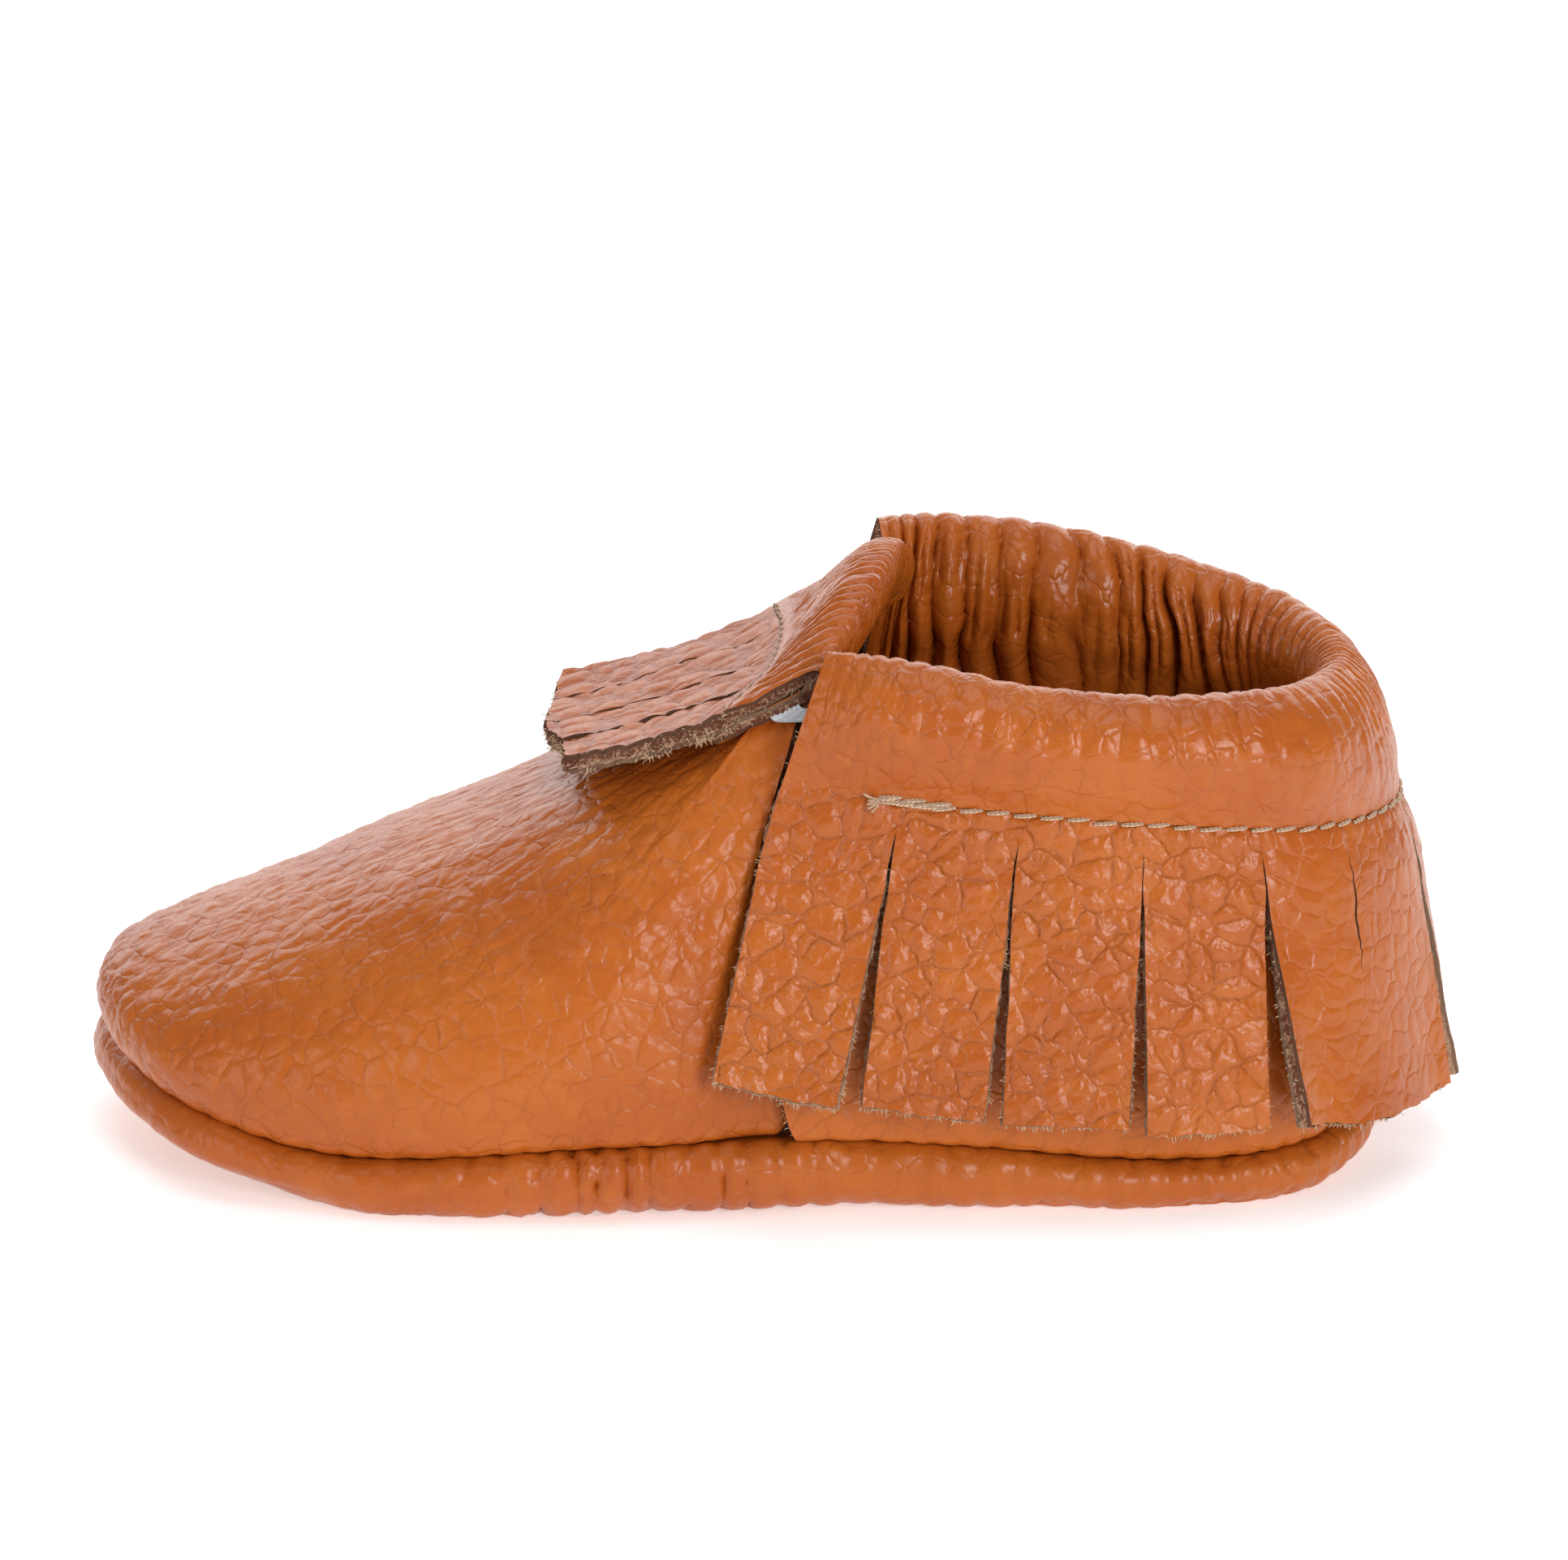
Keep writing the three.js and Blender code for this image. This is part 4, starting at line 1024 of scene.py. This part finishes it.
def hang_strip(spec, number, share, v):
    """A fringe strip's grain face, hung from the collar's stitches, and its direction across.

    share runs across the strip, v is the drop below the stitches."""
    begin, end, flare_top, flare_low, lean, curl_a, curl_b = spec
    a, b = begin * PITCH, end * PITCH
    w = mix(a, b, share)
    point, up, _, _ = collar_frame(station_at(w))
    middle = collar_frame(station_at(np.array([(a + b) / 2])))[2][0]
    root = along(STITCH, station_at(np.array([a, b])))
    across = unit(root[1] - root[0])
    down = unit(-Z + across * (Z @ across))
    away = unit(np.cross(across, down))
    away = away * np.sign(away @ middle)
    angle = np.radians(mix(flare_top, flare_low, v / v[-1]))[:, None]
    finish = down * np.cos(angle) + away * np.sin(angle) + across * math.tan(math.radians(lean))
    sideways = (point - point.mean(0)) @ across
    ragged = 0.16 * wave(w, 1.6, 70 + number) + 0.12 * wave(w, 0.5, 90 + number)
    lengths = v[-1] - math.sin(math.radians(lean)) * sideways + ragged
    if is_wide(spec):
        lengths = lengths - 1.6 * (1 - share) ** 3
    face = hang(point, -up, finish, lengths, smooth(COLLAR_DROP, 8.0, v))
    # Below the uncut band the strip narrows a little, curls at its sides and waves.
    free = smooth(COLLAR_DROP, COLLAR_DROP + 2.5, v)
    low = smooth(COLLAR_DROP + 2, v[-1], v)
    t = share[:, None]
    curl = curl_a * np.clip(1 - 3.2 * t * (b - a) / PITCH, 0, 1) ** 1.6
    curl = curl + curl_b * np.clip(1 - 3.2 * (1 - t) * (b - a) / PITCH, 0, 1) ** 1.6
    sway = 0.35 * wave(v / 9 + 3.1 * number, 1.0, 110)
    bulge = curl * low + sway * low
    inset = (0.05 + 0.10 * wave(v, 3.0, 130 + number)) * free
    pull = inset * np.where(t < 0.5, 1, -1) * np.clip(np.abs(2 * t - 1) * 6 - 5, 0, 1)
    return face + away * bulge[..., None] + across * pull[..., None], across


def cut_slit(face, across, v):
    """Opens the unfinished slit between the middle two columns; returns which cells are left."""
    half = len(face) // 2
    slit = smooth(COLLAR_DROP, 9.5, v) * smooth(COLLAR_DROP + SLIT_LENGTH + 1.5, 9.0, v)
    jag = 0.30 * wave(v, 1.6, 150) + 0.10 * wave(v, 0.5, 151)
    width = 0.06 + 0.30 * slit
    centre = (face[half - 1] + face[half]) / 2 + across * jag[:, None]
    for i, side in ((half - 1, -1), (half, 1)):
        face[i] = centre + across * (width / 2 * side)[:, None]
    mask = np.ones((len(face) - 1, len(v) - 1), bool)
    middle = (v[1:] + v[:-1]) / 2
    top = COLLAR_DROP + 0.8
    mask[half - 1, (middle > top) & (middle < top + SLIT_LENGTH)] = False
    return mask


def strip_relief(w, v, where, wide):
    """The strip's pebbles, dents and creases, and the gathers that run down from the stitches."""
    depth = 0.03 if wide else 0.12
    cell = pebbles(where, 2.6, 160)
    small = pebbles(where + 40, 1.2, 161)
    dents = 0.03 * noise(where, 2.8, 162) + 0.12 * noise(where, 6.0, 163)
    crease = smooth(0.12, 0.0, np.abs(noise(where * [0.55, 1, 1], 5.0, 164)))
    sewn = smooth(SEAM_START - 1, SEAM_START + 1.5, np.minimum(w, ARC_LENGTH[-1] - w))[:, None]
    pucker = folds(where[..., 0] + 0.8 * noise(where, 3.0, 165), 1.7, 166)
    relief = (depth * (cell - 0.6) + 0.22 * depth * (small - 0.6) + dents * (0.5 if wide else 1)
              - 0.10 * crease * (0.3 if wide else 1) - 0.14 * (1 - pucker) * smooth(5, 0.5, v) * sewn)
    relief = relief * smooth(-0.2, 1.0, v) - 0.28 * smooth(0.9, 0.0, v) * sewn
    # Painted shade in the pebbles' creases and crease lines, and a painted shadow along the stitch line
    # under the collar's roll.
    painted_shade_and_depth = 0.22 * (1 - cell) * (0.2 if wide else 1) + 0.2 * crease
    painted_shade_and_depth = painted_shade_and_depth * smooth(-0.2, 1.0, v) + 0.5 * smooth(0.8, 0, v) * sewn
    return relief, painted_shade_and_depth


def is_wide(spec):
    return spec[1] - spec[0] > 1.5


def make_strip(number, spec):
    name = f"fringe_{number:02d}"
    wide = is_wide(spec)
    a, b = spec[0] * PITCH, spec[1] * PITCH
    n = steps(b - a, 0.85)
    share = even(n)
    if wide:  # an even number of columns, with the slit between the middle two
        n += n % 2
        near, far = SLIT_SHARE - 0.2 / (b - a), SLIT_SHARE + 0.2 / (b - a)
        share = np.concatenate([even(n // 2) * near, far + even(n // 2) * (1 - far)])
    w = mix(a, b, share)
    v = even(steps(STRIP_DROP, 0.85)) * STRIP_DROP
    face, across = hang_strip(spec, number, share, v)
    mask = cut_slit(face, across, v) if wide else None
    where = flat(w[:, None], v)
    relief, painted_shade_and_depth = strip_relief(w, v, where, wide)
    piece = Piece()
    edge = sheet(piece, face, -1, relief, painted_shade_and_depth, grain=where, fine=0.35 if wide else 1.0,
                 mask=mask, seed=170 + number, rough=0.12, fray=0.22)
    top = face[:, 0, 2].min() - COLLAR_DROP - 1.0
    fibres(piece, edge, 10.0, keep=lambda p: p[:, 2] < top, long=0.2)
    lowest = face[:, -1, 2].max() + 1.5
    fibres(piece, edge, 22.0, keep=lambda p: p[:, 2] < lowest, long=0.26, droop=0.8)
    cut = CUT if wide else CUT_PALE
    ob = show(piece, name + "_leather", name, [GRAIN_STRIP, cut, FLESH, LOOSE], None)
    bend(ob)


def bend(ob):
    """Bakes a strip's placement into its mesh."""
    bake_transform(ob)


FLAP_ROOT = 3.0  # the part of the flap that bends from the stitches, before its reach is counted
FLAP_THICK = 1.9


def make_flap_strip(number):
    """One strip of the tongue's flap, from the stitch line forwards."""
    name = f"tongue_strip_{number}"
    share = TONGUE_LAST / 4
    high = TONGUE_LAST - (number - 1) * share
    n = steps(FLAP_STRIP_WIDE, 0.7)
    u = np.linspace(high - share, high, n)  # from the far side to the near side
    point, up, _, _ = tongue_frame(u)
    reach = along(np.array(TONGUE_REACH)[:, None], TONGUE_LAST - u)[:, 0]
    reach = reach - 1.5 * smooth(0.16, 0.0, TONGUE_LAST - u)
    longest = FLAP_ROOT + reach.max()
    rows = steps(longest, 0.8)
    v = even(rows) * longest
    angle = np.radians(mix(-24, -13, even(rows)))[:, None]
    finish = np.array([-1.0, 0, 0]) * np.cos(angle) + Z * np.sin(angle)
    ragged = 0.2 * wave(point[:, 1], 1.5, 180) + 0.12 * wave(point[:, 1], 0.5, 181)
    face = hang(point, -up, finish, FLAP_ROOT + reach + ragged, smooth(0.6, 5.0, v))
    gap = 0.17 * smooth(1.0, 5.0, v)
    if number in (1, 2):
        gap = gap * smooth(1.0, 0.75, v / longest)
    jag = 0.10 * wave(v, 1.6, 185)
    side = np.array([0.0, -1.0, 0.0])
    ragged_cut = side * jag[:, None] * (gap > 0.02)[:, None]
    if number > 1:
        face[-1] = face[-1] - side * gap[:, None] + ragged_cut
    if number < 4:
        face[0] = face[0] + side * gap[:, None] + ragged_cut
    wave_up = 0.45 * noise(face, 9.0, 186)[..., None] * smooth(3, 9, v)[None, :, None]
    face = face + Z * wave_up
    where = flat(face[..., 1], v)
    cell = pebbles(where * [0.74, 0.9, 1], 2.9, 190)
    relief = 0.42 * (cell - 0.6) + 0.10 * noise(where, 3.5, 192)
    relief = relief * smooth(-0.3, 1.2, v) - 0.25 * smooth(0.8, 0.0, v)
    # Painted shade in the pebbles' creases, and along the bend at the stitch line under the tongue's roll.
    painted_shade_and_depth = 0.85 * (1 - cell) + 0.5 * smooth(0.7, 0, v)
    piece = Piece()
    grain = where * [0.62, 0.9, 1] + [0, 60, 0]
    edge = sheet(piece, face, -1, relief, painted_shade_and_depth, grain=grain, fine=0.6, thick=FLAP_THICK,
                 seed=200 + number, rough=0.24, fray=0.3)
    front = lambda p: p[:, 0] < -4
    shown = lambda p: front(p) & (p[:, 1] < -15) | (p[:, 0] < -16)
    fibres(piece, edge, 34.0, keep=shown, long=0.3)
    fibres(piece, edge, 2.0, keep=front, long=0.2)
    ob = show(piece, name + "_leather", name, [GRAIN_FLAP, CUT, FLESH, LOOSE], None)
    bend(ob)


# ---- threads and elastic ----
# Which way each loose end of the collar's thread points.
TAILS = [[-0.9, -0.5, -0.55], [-0.7, -0.6, -0.9], [-0.9, -0.5, 0.1], [-0.4, -0.8, -0.9], [-0.8, -0.7, -0.2]]


def stitch_row(piece, path, normal, pitch, radius, wild=0.08, fill=0.78):
    """One row of lockstitches along path: short humps that dive into the leather at both ends."""
    run = arc(path)
    count = int(run[-1] / pitch)
    start = (np.arange(count) + 0.5 * (1 - fill)) * run[-1] / count
    t = np.linspace(0, 1, 9)
    place = start[:, None] + t[None, :] * fill * run[-1] / count
    at = lambda array, where: np.stack([np.interp(where, run, array[:, k]) for k in range(3)], -1)
    center, n = at(path, place), unit(at(normal, place))
    hump = radius * (1.15 * np.sin(np.pi * t) ** 0.55 - 0.75)
    tangent = unit(np.gradient(center, axis=1))
    side = np.cross(n, tangent)
    slant = (t - 0.5) * 0.30 + rng.normal(0, wild, (count, 1))
    curve = center + n * hump[None, :, None] + side * slant[..., None]
    tubes(piece, curve, np.broadcast_to(radius * (0.8 + 0.3 * np.sin(np.pi * t)), curve.shape[:2]), 8, 0)


def show_thread(piece, name, node):
    show(piece, name, node, [THREAD])


def make_collar_thread():
    u = np.linspace(station_at(SEAM_START), station_at(ARC_LENGTH[-1] - SEAM_START), 900)
    point, up, out, height = collar_frame(u)
    line = point - up * 0.15 + out * 0.02
    piece = Piece()
    stitch_row(piece, line, out, STITCH_PITCH, THREAD_RADIUS)
    # The seam is sewn back over itself where it begins, in a thick untidy run.
    back = np.interp(u, ARC_U, ARC_LENGTH) < SEAM_START + 7
    for shift, pitch in ((0.28, 2.1), (-0.22, 2.9), (0.05, 1.7)):
        stitch_row(piece, (line + up * shift + out * 0.14)[back], out[back], pitch, THREAD_RADIUS * 0.95,
                   wild=0.16, fill=0.95)
    count = len(TAILS)
    ends = line[back][0] + rng.normal(0, 0.1, (count, 3))
    t = np.linspace(0, 1, 6)[None, :, None]
    long = rng.uniform(1.0, 2.0, (count, 1, 1))
    tails = ends[:, None] + (unit(np.array(TAILS))[:, None] + Z * 0.35 * t) * t * long
    tubes(piece, tails, np.full((count, 6), 0.13), 6, 0)
    # The same seam seen inside, along the facing.
    inside = point + up * (-0.02 * height) + out * -7.05
    stitch_row(piece, inside, -out, STITCH_PITCH, THREAD_RADIUS)
    show_thread(piece, "collar_stitches", "collar_thread")


def make_tongue_thread():
    u = np.linspace(0.02, TONGUE_LAST - 0.02, 300)
    point, up, out, _ = tongue_frame(u)
    piece = Piece()
    stitch_row(piece, point - up * 0.1 + out * 0.05, out, 2.2, THREAD_RADIUS * 0.8)
    show_thread(piece, "tongue_stitches", "tongue_thread")


def make_sole_thread():
    s = np.linspace(0, ROUND, 1400)
    out = seam_out(s)
    piece = Piece()
    row = upper(s, 0 * s) - out * (SEAM_ALLOWANCE + 0.55)
    stitch_row(piece, row, -out, STITCH_PITCH, THREAD_RADIUS)
    show_thread(piece, "sole_stitches", "sole_thread")


def inside_casing(found, high, low, depth):
    """The band's two edges in a casing: shares of its height, and how deep under its outer face."""
    point, up, out, height = found
    return np.concatenate([point + up * share * height - out * depth for share in (high, low)], 1)


def make_elastic():
    """The band inside both casings, seen where it crosses from one to the other."""
    keys = np.concatenate([
        inside_casing(collar_frame(np.linspace(0.35, COLLAR_LAST - 0.35, 11)), 0.74, 0.42, 1.5),
        [np.concatenate(ELASTIC_FAR)],
        inside_casing(tongue_frame(np.linspace(0.02, TONGUE_LAST - 0.02, 9)), 0.66, 0.36, 2.8),
        [np.concatenate(ELASTIC_NEAR)],
    ])
    n = len(keys)
    c = through(lambda i: keys[i % n], np.linspace(0, n, 520, endpoint=False))
    rows = 13
    face = mix(c[:, None, :3], c[:, None, 3:], even(rows)[None, :, None])
    x = arc(c[:, :3])[:, None]
    y = even(rows)[None, :] * 4.6
    relief = 0.07 * np.cos(2 * np.pi * y / 0.77) + 0.03 * np.sin(x * 5.2) + ELASTIC_THICKNESS / 2
    piece = Piece()
    sheet(piece, face, -1, relief, 0.0, grain=flat(x, y), thick=ELASTIC_THICKNESS / 2, closed=True,
          rough=0.02, slots=(0, 0, 0))
    show(piece, "elastic_weave", "elastic_band", [ELASTIC])


make_sole()
make_toe_piece()
make_heel_piece()
make_collar()
make_tongue()
for index, spec in enumerate(FRINGE):
    make_strip(index + 1, spec)
for index in range(4):
    make_flap_strip(index + 1)
make_collar_thread()
make_tongue_thread()
make_sole_thread()
make_elastic()


# ---- floor, light and camera, in metres ----
FLOOR_REACH = 6.0
LIT_MIDDLE = (0, 0, 0.03)


def make_floor():
    m = Nodes("studio_floor")
    m.set(Base_Color=(0.93, 0.93, 0.94, 1), Roughness=0.9, Specular_IOR_Level=0.1,
          Emission_Color=(1, 1, 1, 1), Emission_Strength=0.42)
    me = bpy.data.meshes.new("studio_floor")
    corners = [(-1, -1, 0), (1, -1, 0), (1, 1, 0), (-1, 1, 0)]
    me.from_pydata([Vector(corner) * FLOOR_REACH for corner in corners], [], [(0, 1, 2, 3)])
    me.materials.append(m.material)
    add_object("studio_floor", me)


def panel(name, place, wide, high, radiance, color=(1, 1, 1)):
    """A flat soft light of the brightness given, as seen in a reflection."""
    light = bpy.data.lights.new(name, "AREA")
    light.shape, light.size, light.size_y, light.color = "RECTANGLE", wide, high, color
    light.energy = radiance * math.pi * wide * high
    ob = add_object(name, light)
    ob.location = place
    ob.rotation_euler = (Vector(LIT_MIDDLE) - Vector(place)).to_track_quat("-Z", "Y").to_euler()


def make_light():
    world = bpy.data.worlds.new("studio")
    world.use_nodes = True
    background = world.node_tree.nodes["Background"]
    background.inputs[0].default_value = (0.97, 0.98, 1.0, 1)
    background.inputs[1].default_value = 0.24
    bpy.context.scene.world = world
    panel("back_panel", (-0.1, 1.35, 0.75), 2.6, 1.5, 2.0, (1.0, 0.975, 0.98))
    panel("top_panel", (0.1, -0.2, 1.6), 1.2, 1.2, 1.9)
    panel("right_panel", (0.78, -1.24, 0.52), 0.46, 0.75, 10.8)
    panel("left_panel", (-1.15, -1.0, 0.5), 0.6, 0.8, 2.9)
    bpy.context.scene.view_settings.view_transform = "Standard"


# The camera's own lengths are in millimetres.
DISTANCE = 600
AZIMUTH = math.radians(3.0)
ELEVATION = math.radians(20.5)
SENSOR = 36
FOCAL_PER_WIDTH = 3.789
AIM_SIDE = 1.15  # where the view's centre passes the part's origin
AIM_UP = 34.3


def make_camera():
    back = Vector((math.sin(AZIMUTH) * math.cos(ELEVATION), -math.cos(AZIMUTH) * math.cos(ELEVATION),
                   math.sin(ELEVATION)))
    right = Vector((math.cos(AZIMUTH), math.sin(AZIMUTH), 0))
    up = back.cross(right)
    data = bpy.data.cameras.new("camera")
    data.sensor_width = SENSOR
    data.lens = SENSOR * FOCAL_PER_WIDTH
    data.clip_start = 0.01
    data.clip_end = 50
    camera = add_object("camera", data)
    origin = Vector((CENTRE_SHIFT, 0, 0))
    camera.location = (origin + back * DISTANCE) * MM
    forward = right * AIM_SIDE + up * AIM_UP - back * DISTANCE
    camera.rotation_euler = forward.to_track_quat("-Z", "Y").to_euler()
    bpy.context.scene.camera = camera


make_floor()
make_light()
make_camera()
